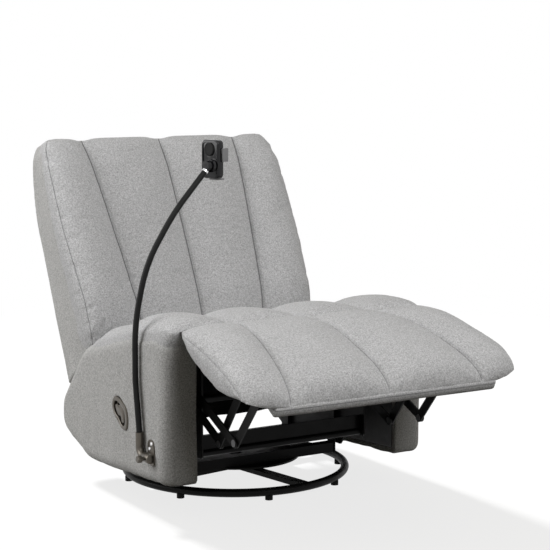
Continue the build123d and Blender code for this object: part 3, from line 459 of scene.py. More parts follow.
class Workshop:
    """Steps that several pieces share."""

    @staticmethod
    def place(name: str, mesh: bpy.types.Mesh) -> bpy.types.Object:
        """Put a mesh into the scene as an object at the origin."""
        piece = bpy.data.objects.new(name, mesh)
        bpy.context.scene.collection.objects.link(piece)
        return piece

    @classmethod
    def from_bmesh(cls, name: str, shape: bmesh.types.BMesh, smooth: bool = True) -> bpy.types.Object:
        """Turn a bmesh into an object.

        Args:
            name: The piece's name.
            shape: The bmesh, which is freed.
            smooth: Whether its faces are shaded smooth.

        Returns:
            The new object.
        """
        bmesh.ops.recalc_face_normals(shape, faces=shape.faces)
        mesh = bpy.data.meshes.new(name)
        shape.to_mesh(mesh)
        shape.free()
        mesh.polygons.foreach_set("use_smooth", [smooth] * len(mesh.polygons))
        return cls.place(name, mesh)

    @classmethod
    def copy_node(cls, node: str, name: str) -> bpy.types.Object:
        """Copy a node's solid into a piece of its own, with its corners joined."""
        shape = bmesh.new()
        shape.from_mesh(frame["nodes"][node].data)
        bmesh.ops.remove_doubles(shape, verts=shape.verts, dist=1e-5)
        mesh = bpy.data.meshes.new(name)
        shape.to_mesh(mesh)
        shape.free()
        return cls.place(name, mesh)

    @staticmethod
    def activate(piece: bpy.types.Object) -> None:
        """Make a piece the active object."""
        for other in bpy.context.selected_objects:
            other.select_set(False)
        piece.select_set(True)
        bpy.context.view_layer.objects.active = piece

    @classmethod
    def remesh(cls, piece: bpy.types.Object, voxel: float, rounds: int) -> None:
        """Rebuild a piece from even quads and round it off.

        Args:
            piece: The object.
            voxel: Size of the quads.
            rounds: How often its points are smoothed.
        """
        cls.activate(piece)
        piece.data.remesh_voxel_size = voxel
        piece.data.remesh_voxel_adaptivity = 0.0
        bpy.ops.object.voxel_remesh()
        cls.smooth(piece, rounds)
        piece.data.polygons.foreach_set("use_smooth", [True] * len(piece.data.polygons))

    @staticmethod
    def smooth(piece: bpy.types.Object, rounds: int, chosen: Optional[np.ndarray] = None) -> None:
        """Move points half way to the middle of their neighbours.

        Args:
            piece: The object.
            rounds: How often the points are moved.
            chosen: Which points move; all of them if it isn't given.
        """
        shape = bmesh.new()
        shape.from_mesh(piece.data)
        verts = [vert for vert in shape.verts if chosen is None or chosen[vert.index]]
        axes = {"use_axis_x": True, "use_axis_y": True, "use_axis_z": True}
        for _ in range(rounds):
            bmesh.ops.smooth_vert(shape, verts=verts, factor=0.5, **axes)
        shape.to_mesh(piece.data)
        shape.free()

    @classmethod
    def subdivide(cls, piece: bpy.types.Object) -> None:
        """Divide a piece's faces once, smoothly."""
        cls.activate(piece)
        modifier = piece.modifiers.new("even", "SUBSURF")
        modifier.levels = modifier.render_levels = 1
        bpy.ops.object.modifier_apply(modifier=modifier.name)

    @staticmethod
    def points(piece: bpy.types.Object) -> np.ndarray:
        """The places of a piece's points, one row each."""
        flat = np.empty(len(piece.data.vertices) * 3)
        piece.data.vertices.foreach_get("co", flat)
        return flat.reshape(-1, 3)

    @staticmethod
    def normals(piece: bpy.types.Object) -> np.ndarray:
        """The directions that a piece's points face, one row each."""
        flat = np.empty(len(piece.data.vertices) * 3, np.float32)
        piece.data.vertex_normals.foreach_get("vector", flat)
        return flat.reshape(-1, 3).astype(float)

    @staticmethod
    def move(piece: bpy.types.Object, places: np.ndarray) -> None:
        """Set the places of a piece's points."""
        piece.data.vertices.foreach_set("co", places.ravel())
        piece.data.update()

    @classmethod
    def inflate(
        cls, piece: bpy.types.Object, pins: np.ndarray, pressure: float, spare: float, cap: float
    ) -> None:
        """Swell a piece as cloth under pressure, held at its pinned points.

        Args:
            piece: The object, of even quads.
            pins: Which points are held.
            pressure: The air inside.
            spare: Share by which the cloth is cut larger than the piece.
            cap: The furthest that a point may move.
        """
        rest = cls.points(piece)
        group = piece.vertex_groups.new(name="sewn")
        group.add([int(index) for index in np.flatnonzero(pins)], 1.0, "REPLACE")
        cloth = piece.modifiers.new("stuffing", "CLOTH")
        settings = cloth.settings
        settings.bending_stiffness = 0.4
        settings.shrink_min = -spare
        settings.use_pressure = True
        settings.uniform_pressure_force = pressure
        settings.vertex_group_mass = group.name
        settings.effector_weights.gravity = 0.0
        cloth.collision_settings.use_collision = False
        cloth.point_cache.frame_start = 1
        cloth.point_cache.frame_end = SIM_FRAMES
        scene = bpy.context.scene
        for step in range(1, SIM_FRAMES + 1):
            scene.frame_set(step)
        swollen = piece.evaluated_get(bpy.context.evaluated_depsgraph_get())
        flat = np.empty(len(rest) * 3)
        swollen.data.vertices.foreach_get("co", flat)
        piece.modifiers.remove(cloth)
        piece.vertex_groups.remove(group)
        scene.frame_set(1)
        shift = flat.reshape(-1, 3) - rest
        length = np.linalg.norm(shift, axis=1, keepdims=True)
        share = np.minimum(1.0, cap / np.maximum(length, 1e-9))
        cls.move(piece, rest + shift * share)
        LOG.info("%s swelled by at most %.1f mm", piece.name, float(length.max()) / MM)

    @staticmethod
    def mark(piece: bpy.types.Object, name: str, values: np.ndarray) -> None:
        """Keep a value at each of a piece's points for its material to read."""
        layer = piece.data.attributes.new(name, "FLOAT", "POINT")
        layer.data.foreach_set("value", values.astype(np.float32))

    @staticmethod
    def unevenness(places: np.ndarray, size: float, seed: float) -> np.ndarray:
        """Smooth noise from -1 to 1 at each place, with bumps of about one size."""
        offset = Vector((seed, 2 * seed, 3 * seed))
        return np.array([noise.noise(Vector(place) / size + offset) for place in places])

    @staticmethod
    def finish(piece: bpy.types.Object, finish: Finish, slot: Slot, *nodes: str) -> bpy.types.Object:
        """Give a piece its material, and let it stand for CAD nodes.

        Args:
            piece: The object.
            finish: Its surface.
            slot: The record's slot; not used.
            nodes: CAD nodes that it replaces.

        Returns:
            The same object.
        """
        piece.data.materials.clear()
        piece.data.materials.append(finish.material())
        if nodes:
            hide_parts(*nodes)
        LOG.info("%s: %d faces", piece.name, len(piece.data.polygons))
        return piece


@dataclass(frozen=True)
class FaceFrame:
    """A cushion's own directions: across is X, along runs up its face, and height is square to it."""

    origin: Vector
    along: Vector
    normal: Vector

    @classmethod
    def tilted(cls, origin: Point, degrees: float) -> "FaceFrame":
        """A face through a point, tilted about X from lying flat with its length along +Y."""
        turn = Matrix.Rotation(math.radians(degrees), 3, "X")
        return cls(Vector(origin), turn @ Vector((0, 1, 0)), turn @ Vector((0, 0, 1)))

    def local(self, places: np.ndarray) -> tuple[np.ndarray, np.ndarray, np.ndarray]:
        """Across, along and height of each place."""
        offset = places - np.array(self.origin)
        return offset[:, 0], offset @ np.array(self.along), offset @ np.array(self.normal)

    def moved(self, places: np.ndarray, along: Amount = 0.0, height: Amount = 0.0) -> np.ndarray:
        """Places moved along the face and square to it."""
        return places + np.outer(height, np.array(self.normal)) + np.outer(along, np.array(self.along))


@dataclass(frozen=True)
class Seam:
    """A straight sewn line on a cushion's face, from one (across, along) point to another."""

    start: tuple[float, float]
    end: tuple[float, float]

    def measure(self, across: np.ndarray, along: np.ndarray) -> tuple[np.ndarray, np.ndarray, np.ndarray]:
        """Distance of each point from the line, its share of the way along it, and its side, 1 or -1."""
        run = np.array(self.end) - np.array(self.start)
        offset = np.stack([across - self.start[0], along - self.start[1]], axis=1)
        share = np.clip(offset @ run / (run @ run), 0.0, 1.0)
        side = np.where(offset[:, 0] * run[1] - offset[:, 1] * run[0] >= 0, 1.0, -1.0)
        return np.linalg.norm(offset - share[:, None] * run, axis=1), share, side

    @property
    def length(self) -> float:
        """Length of the line."""
        return math.dist(self.start, self.end)


@dataclass
class Cushion:
    """A quilted cushion, stuffed by a cloth simulation and drawn in along its seams.

    The rim, where the side walls meet the face, is rows of along, half width and height in millimetres.
    """

    name: str
    node: str
    body: str
    face: FaceFrame
    rim: list[Point]
    seams: list[Seam]
    floor: Field
    foot: Optional[Field] = None
    form: Optional[Field] = None
    drape: Optional[Field] = None
    skirt: float = 0.0
    # How strong the painted crease shade is along the seams and along the rim; both also set the gathers'
    # depth, and rim_line the rim's groove.
    seam_line: float = 0.5
    rim_line: float = 0.3
    voxel: float = 0.006
    rounds: int = 7
    side_rounds: int = 10
    side_band: float = 0.022
    floor_band: float = 0.004
    pressure: float = 15.0
    spare: float = 0.03
    cap: float = 0.022
    seam_depth: float = 0.005
    seam_width: float = 0.004
    seam_band: float = 0.008
    gather: float = 0.0005
    gather_reach: float = 0.026
    gather_gap: float = 0.005
    pleat: float = 0.031
    rim_depth: float = 0.003
    rim_width: float = 0.004
    ruffle: float = 0.0
    ruffle_pitch: float = 0.021
    drift_size: float = 0.05
    sag: float = 0.001
    sag_size: float = 0.11
    fade: float = 0.012
    fill: float = 0.7
    seed: float = 1.0

    def build(self) -> bpy.types.Object:
        """Make the cushion in the place of its CAD solid.

        Returns:
            The finished piece, riding on its body.
        """
        piece = Workshop.copy_node(self.node, self.name)
        self.let_down(piece)
        Workshop.remesh(piece, self.voxel, self.rounds)
        if self.drape:
            Workshop.move(piece, self.drape(Workshop.points(piece)))
        self.round_sides(piece)
        Workshop.inflate(piece, self.pins(piece), self.pressure, self.spare, self.cap)
        Workshop.subdivide(piece)
        self.refine(piece)
        self.sew(piece)
        Workshop.finish(piece, CLOTH, Slot.FABRIC, self.node)
        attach(piece, self.body)
        return piece

    def let_down(self, piece: bpy.types.Object) -> None:
        """Lower the underside so that the side walls lap what the cushion rests on."""
        places = Workshop.points(piece)
        across, along, height = self.face.local(places)
        under = height < self.floor(along) + 0.6 * MM
        if self.foot:
            places[:, 0] = np.where(under, np.sign(across) * self.foot(along), places[:, 0])
        places = self.face.moved(places, height=-self.skirt * under)
        Workshop.move(piece, self.form(places) if self.form else places)

    def half_width(self, along: np.ndarray) -> np.ndarray:
        """Half the cushion's width at each place along it."""
        rows = np.array(self.rim) * MM
        return np.interp(along, rows[:, 0], rows[:, 1])

    def rim_height(self, along: np.ndarray) -> np.ndarray:
        """Height of the rim at each place along the cushion."""
        rows = np.array(self.rim) * MM
        return np.interp(along, rows[:, 0], rows[:, 2])

    def round_sides(self, piece: bpy.types.Object) -> None:
        """Smooth the side walls a little more than the rest, so that the face rolls over into them."""
        across, along, _ = self.face.local(Workshop.points(piece))
        outer = np.abs(across) > self.half_width(along) - self.side_band
        Workshop.smooth(piece, self.side_rounds, outer)

    def seam_field(self, places: np.ndarray) -> tuple[np.ndarray, np.ndarray]:
        """Signed distance to the nearest seam, and the run along that seam, at each place."""
        across, along, _ = self.face.local(places)
        nearest = np.full(len(places), np.inf)
        run = np.zeros(len(places))
        sign = np.ones(len(places))
        for seam in self.seams:
            distance, share, side = seam.measure(across, along)
            closer = distance < nearest
            nearest = np.where(closer, distance, nearest)
            run = np.where(closer, share * seam.length, run)
            sign = sign * side
        return nearest * sign, run

    def rim_field(self, places: np.ndarray) -> np.ndarray:
        """Signed distance of each place to the nearer rim, over the rounded edge, positive on the face."""
        across, along, height = self.face.local(places)
        return (height - self.rim_height(along) + self.half_width(along) - np.abs(across)) / math.sqrt(2)

    def pins(self, piece: bpy.types.Object) -> np.ndarray:
        """Which points are held: the underside, the skirt and the seams."""
        places = Workshop.points(piece)
        facing = Workshop.normals(piece) @ np.array(self.face.normal)
        _, along, height = self.face.local(places)
        under = (facing < -0.4) | (height < self.floor(along) + self.floor_band)
        return under | ((facing > 0.0) & (np.abs(self.seam_field(places)[0]) < 0.7 * self.voxel))

    def refine(self, piece: bpy.types.Object) -> None:
        """Divide the faces beside the seams once more, so that the seams can be narrow."""
        places = Workshop.points(piece)
        near = (np.abs(self.seam_field(places)[0]) < self.seam_band) & (self.facing(piece) > 0)
        shape = bmesh.new()
        shape.from_mesh(piece.data)
        shape.verts.ensure_lookup_table()
        edges = [edge for edge in shape.edges if all(near[vert.index] for vert in edge.verts)]
        bmesh.ops.subdivide_edges(shape, edges=edges, cuts=1, use_grid_fill=True)
        shape.to_mesh(piece.data)
        shape.free()

    def facing(self, piece: bpy.types.Object) -> np.ndarray:
        """How far each point looks out of the cushion's face or its far end."""
        normals = Workshop.normals(piece)
        return np.maximum(normals @ np.array(self.face.normal), normals @ np.array(self.face.along))

    def sew(self, piece: bpy.types.Object) -> None:
        """Draw the seams in, gather the cloth beside them and let the rest lie a little unevenly."""
        places = Workshop.points(piece)
        normals = Workshop.normals(piece)
        upper = rise(self.facing(piece), 0.05, 0.4)
        lower = np.clip(-normals @ np.array(self.face.normal), 0.0, 1.0)
        seam, run = self.seam_field(places)
        rim = self.rim_field(places)
        _, along, height = self.face.local(places)
        drift = Workshop.unevenness(places, self.drift_size, self.seed)
        beside = bell(seam, self.gather_reach) * (1 - bell(seam, self.gather_gap))
        pleats = self.gather * np.sin(2 * math.pi * run / self.pleat + 3.0 * drift) * beside * (0.5 + drift)
        shift = (pleats - self.seam_depth * bell(seam, self.seam_width)) * upper
        shift += self.sag * Workshop.unevenness(places, self.sag_size, self.seed + 4) * (1 - lower)
        hem = rise(rim, -0.045, 0.02) * rise(-rim, -self.fade, self.fade)
        shift += self.ruffle * hem * np.sin(2 * math.pi * along / self.ruffle_pitch + 9.0 * drift) * drift
        shift -= self.rim_depth * self.rim_line * bell(rim, self.rim_width)
        shift *= rise(height, self.floor(along), self.fade)
        Workshop.move(piece, places + normals * shift[:, None])
        # The sewn weight sets the painted crease shade at the seams and the rim, and the depth of the
        # gathers.
        sided = np.abs(rim) < np.abs(seam)
        Workshop.mark(piece, "seam", np.where(sided, rim, seam))
        Workshop.mark(piece, "run", np.where(sided, along, run))
        Workshop.mark(piece, "sewn", np.where(sided, self.rim_line, self.seam_line * upper))


@dataclass
class Upholstery:
    """Padded cloth over a frame part, with softly uneven faces."""

    name: str
    node: str
    body: str
    finish: Finish
    slot: Slot
    form: Optional[Field] = None
    loose: Optional[Field] = None
    # A stitched seam, drawn with a thin line of painted crease shade whose strength is stitch_line.
    stitch: Optional[Field] = None
    stitch_line: float = 0.6
    voxel: float = 0.005
    rounds: int = 4
    sag: float = 0.0015
    sag_size: float = 0.13
    swell: float = 0.0
    folds: float = 0.0
    fold_size: float = 0.034
    fold_stretch: float = 0.22
    seed: float = 3.0
    fill: float = 0.8

    def build(self) -> bpy.types.Object:
        """Make the padded piece in the place of its CAD solid.

        Returns:
            The finished piece, riding on its body.
        """
        piece = Workshop.copy_node(self.node, self.name)
        Workshop.remesh(piece, self.voxel, self.rounds)
        places = Workshop.points(piece)
        slack = self.swell + self.sag * Workshop.unevenness(places, self.sag_size, self.seed)
        upright = places * np.array([1.0, 1.0, self.fold_stretch])
        slack += self.folds * Workshop.unevenness(upright, self.fold_size, self.seed + 2)
        if self.loose:
            slack *= self.loose(places)
        places = places + Workshop.normals(piece) * slack[:, None]
        if self.form:
            places = self.form(places)
        Workshop.move(piece, places)
        # Mark the stitched seam for the painted crease shade and the gathers.
        if self.stitch:
            Workshop.mark(piece, "seam", self.stitch(places))
            Workshop.mark(piece, "run", places[:, 0])
            Workshop.mark(piece, "sewn", np.full(len(places), self.stitch_line))
        Workshop.finish(piece, self.finish, self.slot, self.node)
        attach(piece, self.body)
        return piece


@dataclass
class FoldCloth:
    """A sheet of cover cloth that bridges two bodies at a fold."""

    name: str
    node: str
    bodies: tuple[str, str]
    line: Outline
    half_width: float
    rests_on: list[str]
    thickness: float = 0.002
    steps: int = 60

    def build(self) -> bpy.types.Object:
        """Lay the sheet along its line.

        Returns:
            The finished piece.
        """
        shape = bmesh.new()
        row = [shape.verts.new((-self.half_width, y, z)) for y, z in self.line]
        edges = [shape.edges.new(pair) for pair in zip(row, row[1:])]
        span = Vector((2 * self.half_width / self.steps, 0, 0))
        for _ in range(self.steps):
            made = bmesh.ops.extrude_edge_only(shape, edges=edges)["geom"]
            edges = [item for item in made if isinstance(item, bmesh.types.BMEdge)]
            edges = [edge for edge in edges if all(v in made for v in edge.verts)]
            verts = [item for item in made if isinstance(item, bmesh.types.BMVert)]
            bmesh.ops.translate(shape, verts=verts, vec=span)
        piece = Workshop.from_bmesh(self.name, shape)
        wall = piece.modifiers.new("cloth", "SOLIDIFY")
        wall.thickness = self.thickness
        Workshop.activate(piece)
        bpy.ops.object.modifier_apply(modifier=wall.name)
        Workshop.subdivide(piece)
        Workshop.finish(piece, CLOTH, Slot.FABRIC, self.node)
        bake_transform(piece)
        return piece


class Forge:
    """Hard shapes in millimetres, drawn flat as (u, v) and raised along w, then set in place."""

    def __init__(self, u: Vector, v: Vector, origin: Vector) -> None:
        """Open an empty shape.

        Args:
            u: First direction of the drawing plane.
            v: Second direction of the drawing plane; w is square to both.
            origin: Place of the drawing's origin.
        """
        w = u.cross(v)
        turn = Matrix((u, v, w)).transposed().to_4x4()
        self.place = Matrix.Translation(origin) @ turn @ Matrix.Scale(MM, 4)
        self.shape = bmesh.new()

    def take(self, made: bmesh.types.BMesh) -> None:
        """Add a finished shape to this one."""
        bmesh.ops.recalc_face_normals(made, faces=made.faces)
        mesh = bpy.data.meshes.new("part")
        made.to_mesh(mesh)
        made.free()
        self.shape.from_mesh(mesh)
        bpy.data.meshes.remove(mesh)

    @staticmethod
    def soften(made: bmesh.types.BMesh, edges: list[bmesh.types.BMEdge], width: float) -> None:
        """Round off some edges."""
        bmesh.ops.bevel(
            made,
            geom=edges,
            offset=width,
            offset_type="OFFSET",
            segments=3,
            profile=0.5,
            affect="EDGES",
            material=-1,
            clamp_overlap=True,
        )

    def plate(self, outline: Outline, low: float, high: float, edge: float) -> None:
        """Raise a flat outline from one height to another, with rounded rims."""
        made = bmesh.new()
        base = made.faces.new([made.verts.new((u, v, low)) for u, v in outline])
        raised = bmesh.ops.extrude_face_region(made, geom=[base])["geom"]
        verts = [item for item in raised if isinstance(item, bmesh.types.BMVert)]
        bmesh.ops.translate(made, verts=verts, vec=(0, 0, high - low))
        rims = [item for item in made.edges if abs(item.verts[0].co.z - item.verts[1].co.z) < 1e-4]
        self.soften(made, rims, edge)
        self.take(made)

    def lathe(self, profile: Outline, centre: tuple[float, float] = (0.0, 0.0), steps: int = 40) -> None:
        """Turn a profile of (radius, w) points about an axis along w."""
        made = bmesh.new()
        verts = [made.verts.new((centre[0] + radius, centre[1], w)) for radius, w in profile]
        edges = [made.edges.new(pair) for pair in zip(verts, verts[1:])]
        bmesh.ops.spin(
            made,
            geom=verts + edges,
            cent=(*centre, 0),
            axis=(0, 0, 1),
            angle=2 * math.pi,
            steps=steps,
            use_merge=True,
            use_duplicate=False,
        )
        bmesh.ops.remove_doubles(made, verts=made.verts, dist=1e-3)
        self.take(made)

    def ring(self, loops: list[tuple[Outline, float]]) -> None:
        """Join outlines of equally many points, each at its height, into a closed band."""
        made = bmesh.new()
        rims = []
        for outline, w in loops:
            row = [made.verts.new((u, v, w)) for u, v in outline]
            rims.append([made.edges.new(pair) for pair in zip(row, row[1:] + row[:1])])
        for rim, other in zip(rims, rims[1:] + rims[:1]):
            bmesh.ops.bridge_loops(made, edges=rim + other)
        self.take(made)

    def finish(self, name: str, body: str, finish: Finish, slot: Slot, *nodes: str) -> bpy.types.Object:
        """Set the shape in place and let it ride on a body, with sharp corners kept sharp."""
        bmesh.ops.transform(self.shape, matrix=self.place, verts=self.shape.verts)
        piece = Workshop.from_bmesh(name, self.shape)
        piece.data.set_sharp_from_angle(angle=math.radians(40))
        Workshop.finish(piece, finish, slot, *nodes)
        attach(piece, body)
        return piece

    @staticmethod
    def rounded(corners: Outline, radius: float, steps: int = 6) -> Outline:
        """Round the corners of an outline."""
        points = []
        for i, corner in enumerate(corners):
            here = Vector(corner)
            sides = [Vector(corners[i - 1]) - here, Vector(corners[(i + 1) % len(corners)]) - here]
            start, end = (here + side.normalized() * min(radius, 0.48 * side.length) for side in sides)
            for k in range(steps + 1):
                t = k / steps
                spot = start * (1 - t) ** 2 + here * (2 * t * (1 - t)) + end * t**2
                points.append((spot.x, spot.y))
        return points

    @classmethod
    def box(cls, u0: float, u1: float, v0: float, v1: float, radius: float) -> Outline:
        """A rectangle with rounded corners."""
        return cls.rounded([(u0, v0), (u1, v0), (u1, v1), (u0, v1)], radius)

    @staticmethod
    def inset(outline: Outline, amount: float) -> Outline:
        """Draw an outline in towards its middle by about an amount."""
        middle = sum((Vector(point) for point in outline), Vector((0, 0))) / len(outline)
        drawn = []
        for point in outline:
            arm = Vector(point) - middle
            spot = middle + arm * max(0.0, 1 - amount / arm.length)
            drawn.append((spot.x, spot.y))
        return drawn


@dataclass
class Pull:
    """The leaf-shaped release pull in the side panel."""

    centre: Point = (-0.395, -0.098, 0.231)
    tilt: float = 44.0

    def forge(self) -> Forge:
        """A drawing plane on the panel, with u up the pull and w out of the panel."""
        lean = math.radians(self.tilt)
        u = Vector((0, math.sin(lean), math.cos(lean)))
        v = Vector((0, math.cos(lean), -math.sin(lean)))
        return Forge(u, v, Vector(self.centre))

    def build(self) -> None:
        """Make the bezel and the lever."""
        leaf = [(50, -4), (27, -24), (-6, -36), (-20, -35), (-40, -22), (-53, -1), (-50, 12), (-38, 21)]
        leaf += [(-9, 28), (19, 33), (37, 28), (48, 13)]
        rim = Forge.rounded(leaf, 12.0)
        bezel = self.forge()
        bezel.ring(
            [
                (rim, -1.0),
                (Forge.inset(rim, 0.5), 2.4),
                (Forge.inset(rim, 2.2), 4.2),
                (Forge.inset(rim, 11.0), 5.0),
                (Forge.inset(rim, 12.6), 4.0),
                (Forge.inset(rim, 13.2), -3.0),
            ]
        )
        bezel.finish("pull_bezel_leaf", "seat", BRONZE, Slot.BRONZE, "pull_bezel")
        paddle = [(31, 9), (26, 1), (19, -3), (14, -14), (4, -18), (-10, -18), (-24, -10), (-31, 2), (-29, 9)]
        paddle += [(-20, 12), (-14, 6), (-5, 6), (-2, 14), (10, 16), (24, 15)]
        lever = self.forge()
        lever.plate(Forge.rounded(paddle, 3.5), -2.5, 2.6, 1.2)
        ridge = [(28, 6), (20, 0), (4, -12), (-9, -13), (-22, -6), (-26, 2), (-12, 1), (2, 3)]
        ridge += [(8, 11), (20, 12)]
        lever.plate(Forge.rounded(ridge, 4.0), 2.0, 3.4, 0.6)
        lever.plate(Forge.box(28, 32, -15, 15, 1.5), -6.2, -1.8, 0.8)
        lever.finish("pull_lever_paddle", "lever", BRONZE, Slot.BRONZE, "pull_lever")


@dataclass
class PhoneHolder:
    """Bracket, thumb screw and phone clamp of the holder on the side panel."""

    ball: Point = (-0.193, -0.206, 0.860)
    yaw: float = -76.4
    pivot: Point = (-0.395, -0.269, 0.148)
    barrel: Point = (-0.407, -0.269, 0.148)
    arm_end: Point = (-0.667, 0.0, -0.745)
    thumb_ribs: int = 18
    liner_ribs: int = 5

    def build(self) -> None:
        """Make the hard parts that the CAD shows plainly."""
        self.bracket()
        self.clamp()
        self.jaws()

    def side_forge(self) -> Forge:
        """A drawing plane on the panel's face, u towards the front and v up, w out of the panel."""
        return Forge(Vector((0, -1, 0)), Vector((0, 0, 1)), Vector(self.pivot))

    def bracket(self) -> None:
        """Make the leaf-shaped bracket, its domed screws and the ribbed thumb screw."""
        plate = self.side_forge()
        leaf = [(-17, 38), (-4, 47), (13, 42), (18, 18), (19, -4), (14, -19), (4, -22), (-10, -14), (-17, 4)]
        plate.plate(Forge.rounded(leaf, 9.0), 0.0, 4.0, 1.2)
        plate.plate(Forge.box(-17, 17, -12, 12, 4.0), 3.0, 12.0, 1.0)
        plate.finish("holder_bracket_leaf", "seat", BRONZE, Slot.BRONZE, "holder_bracket")
        sleeve = Forge(Vector((1, 0, 0)), Vector((0, 0, 1)), Vector(self.barrel))
        sleeve.lathe([(6.1, -17), (11.2, -17), (12, -16), (12, 16), (11.2, 17), (6.1, 17), (6.1, -17)])
        sleeve.finish("holder_barrel", "seat", BRONZE, Slot.BRONZE)
        screws = self.side_forge()
        head = [(0, 3.0), (5, 3.0), (5, 4.8), (4.4, 5.9), (2.6, 6.5), (1.6, 6.5), (1.2, 5.6), (0, 5.6)]
        for centre in ((5, 36), (-5, 22)):
            screws.lathe(head, centre)
        screws.finish("holder_screws_domed", "seat", BRIGHT, Slot.BRIGHT, "holder_screws")
        thumb = self.side_forge()
        ribs = []
        for i in range(4 * self.thumb_ribs):
            turn = 2 * math.pi * i / (4 * self.thumb_ribs)
            radius = 9.0 - 0.7 * (i % 4 in (2, 3))
            ribs.append((radius * math.cos(turn), radius * math.sin(turn)))
        thumb.lathe([(0, 18.3), (3, 18.3), (3, 24), (5.5, 24), (5.5, 30.5), (0, 30.5)])
        thumb.plate(ribs, 30, 41, 0.8)
        thumb.lathe([(0, 40), (7.4, 40), (7.0, 41.6), (0, 42)])
        thumb.finish("thumb_screw_ribbed", "thumb", BRONZE, Slot.BRONZE, "thumb_screw")

    def clamp_forge(self) -> Forge:
        """A drawing plane through the ball, u across the clamp and v up, w towards the arm."""
        lean = math.radians(self.yaw)
        return Forge(Vector((math.cos(lean), math.sin(lean), 0)), Vector((0, 0, 1)), Vector(self.ball))

    def clamp(self) -> None:
        """Make the clamp's case with its raised rim, knob, ball stud and foot."""
        case = self.clamp_forge()
        rim = Forge.box(-47, 14, -34, 64, 14.0)
        case.plate(rim, -37, -17, 3.0)
        shell = Forge.box(-45, 12, -32, 62, 12.5)
        case.ring(
            [
                (shell, -17.5),
                (Forge.inset(shell, 1.0), -15.4),
                (Forge.inset(shell, 5.2), -15.0),
                (Forge.inset(shell, 6.2), -17.5),
            ]
        )
        case.lathe([(17.5, -17.5), (17.5, -14.8), (16.3, -13.8), (13.6, -13.8), (13.2, -17.5)])
        case.lathe([(0, -18), (4.6, -18), (3.5, -15), (3.5, -7)])
        ball = [(8 * math.sin(0.12 * i), -8 * math.cos(0.12 * i)) for i in range(27)]
        case.lathe(ball)
        case.finish("clamp_case", "clamp", GLOSS_BLACK, Slot.GLOSS, "clamp_body")
        self.ferrule()
        knob = self.clamp_forge()
        cap = [(17, -17.4), (17, -14.2), (16.2, -13.2), (14.6, -12.8), (14.2, -13.6), (0, -13.2)]
        knob.lathe(cap, (-16.5, 40))
        knob.finish("clamp_knob", "clamp", MATT_BLACK, Slot.BLACK)
        foot = self.clamp_forge()
        foot.plate(Forge.box(-31.5, -1.5, -55, -27, 4.0), 34, 38, 1.2)
        foot.place = foot.place @ Matrix.Rotation(math.radians(90), 4, "X")
        foot.finish("clamp_foot", "clamp", JAW_GREY, Slot.JAW)
        pad = self.clamp_forge()
        pad.plate(Forge.box(-40, 7, -27, 57, 9.0), -38.2, -36.5, 0.6)
        pad.finish("clamp_face_pad", "clamp", RUBBER, Slot.BLACK)

    def ferrule(self) -> None:
        """Make the bright ring where the arm runs into the ball's socket."""
        way = Vector(self.arm_end).normalized()
        ring = Forge(Vector((0, 1, 0)), way.cross(Vector((0, 1, 0))), Vector(self.ball))
        band = [(6.0, 14.5), (8.0, 14.5), (8.6, 15.2), (8.6, 20.4), (8.0, 21.0), (6.0, 21.0), (6.0, 14.5)]
        ring.lathe(band)
        ring.finish("arm_ferrule", "arm", BRIGHT, Slot.BRIGHT)

    def jaws(self) -> None:
        """Make the two jaws and their ribbed liners, whose pale grey is a painted highlight."""
        for name, side, end, height in (("left", -1, -47, 17), ("right", 1, 14, 35)):
            jaw = self.clamp_forge()
            inner, outer = sorted((end + side * 1.0, end + side * 5.0))
            jaw.plate(Forge.box(inner, outer, 9, 43, 1.6), -48.3, -28.3, 0.8)
            bar = sorted((end - side * 30, end + side * 2.0))
            jaw.plate(Forge.box(*bar, height - 6, height + 6, 1.0), -33.3, -28.3, 0.6)
            jaw.finish(f"clamp_jaw_{name}_plate", f"jaw_{name}", JAW_GREY, Slot.JAW, f"clamp_jaw_{name}")
            # Painted highlight: a pale ribbed strip on the jaw's inner edge.
            liner = self.clamp_forge()
            rib = sorted((end + side * 1.2, end + side * 0.2))
            for i in range(self.liner_ribs):
                low = -46.5 + 3.2 * i
                liner.plate(Forge.box(*rib, 11, 41, 0.4), low, low + 2.4, 0.3)
            liner.finish(f"clamp_jaw_{name}_liner", f"jaw_{name}", PAINTED_HIGHLIGHT_LINER, Slot.JAW)


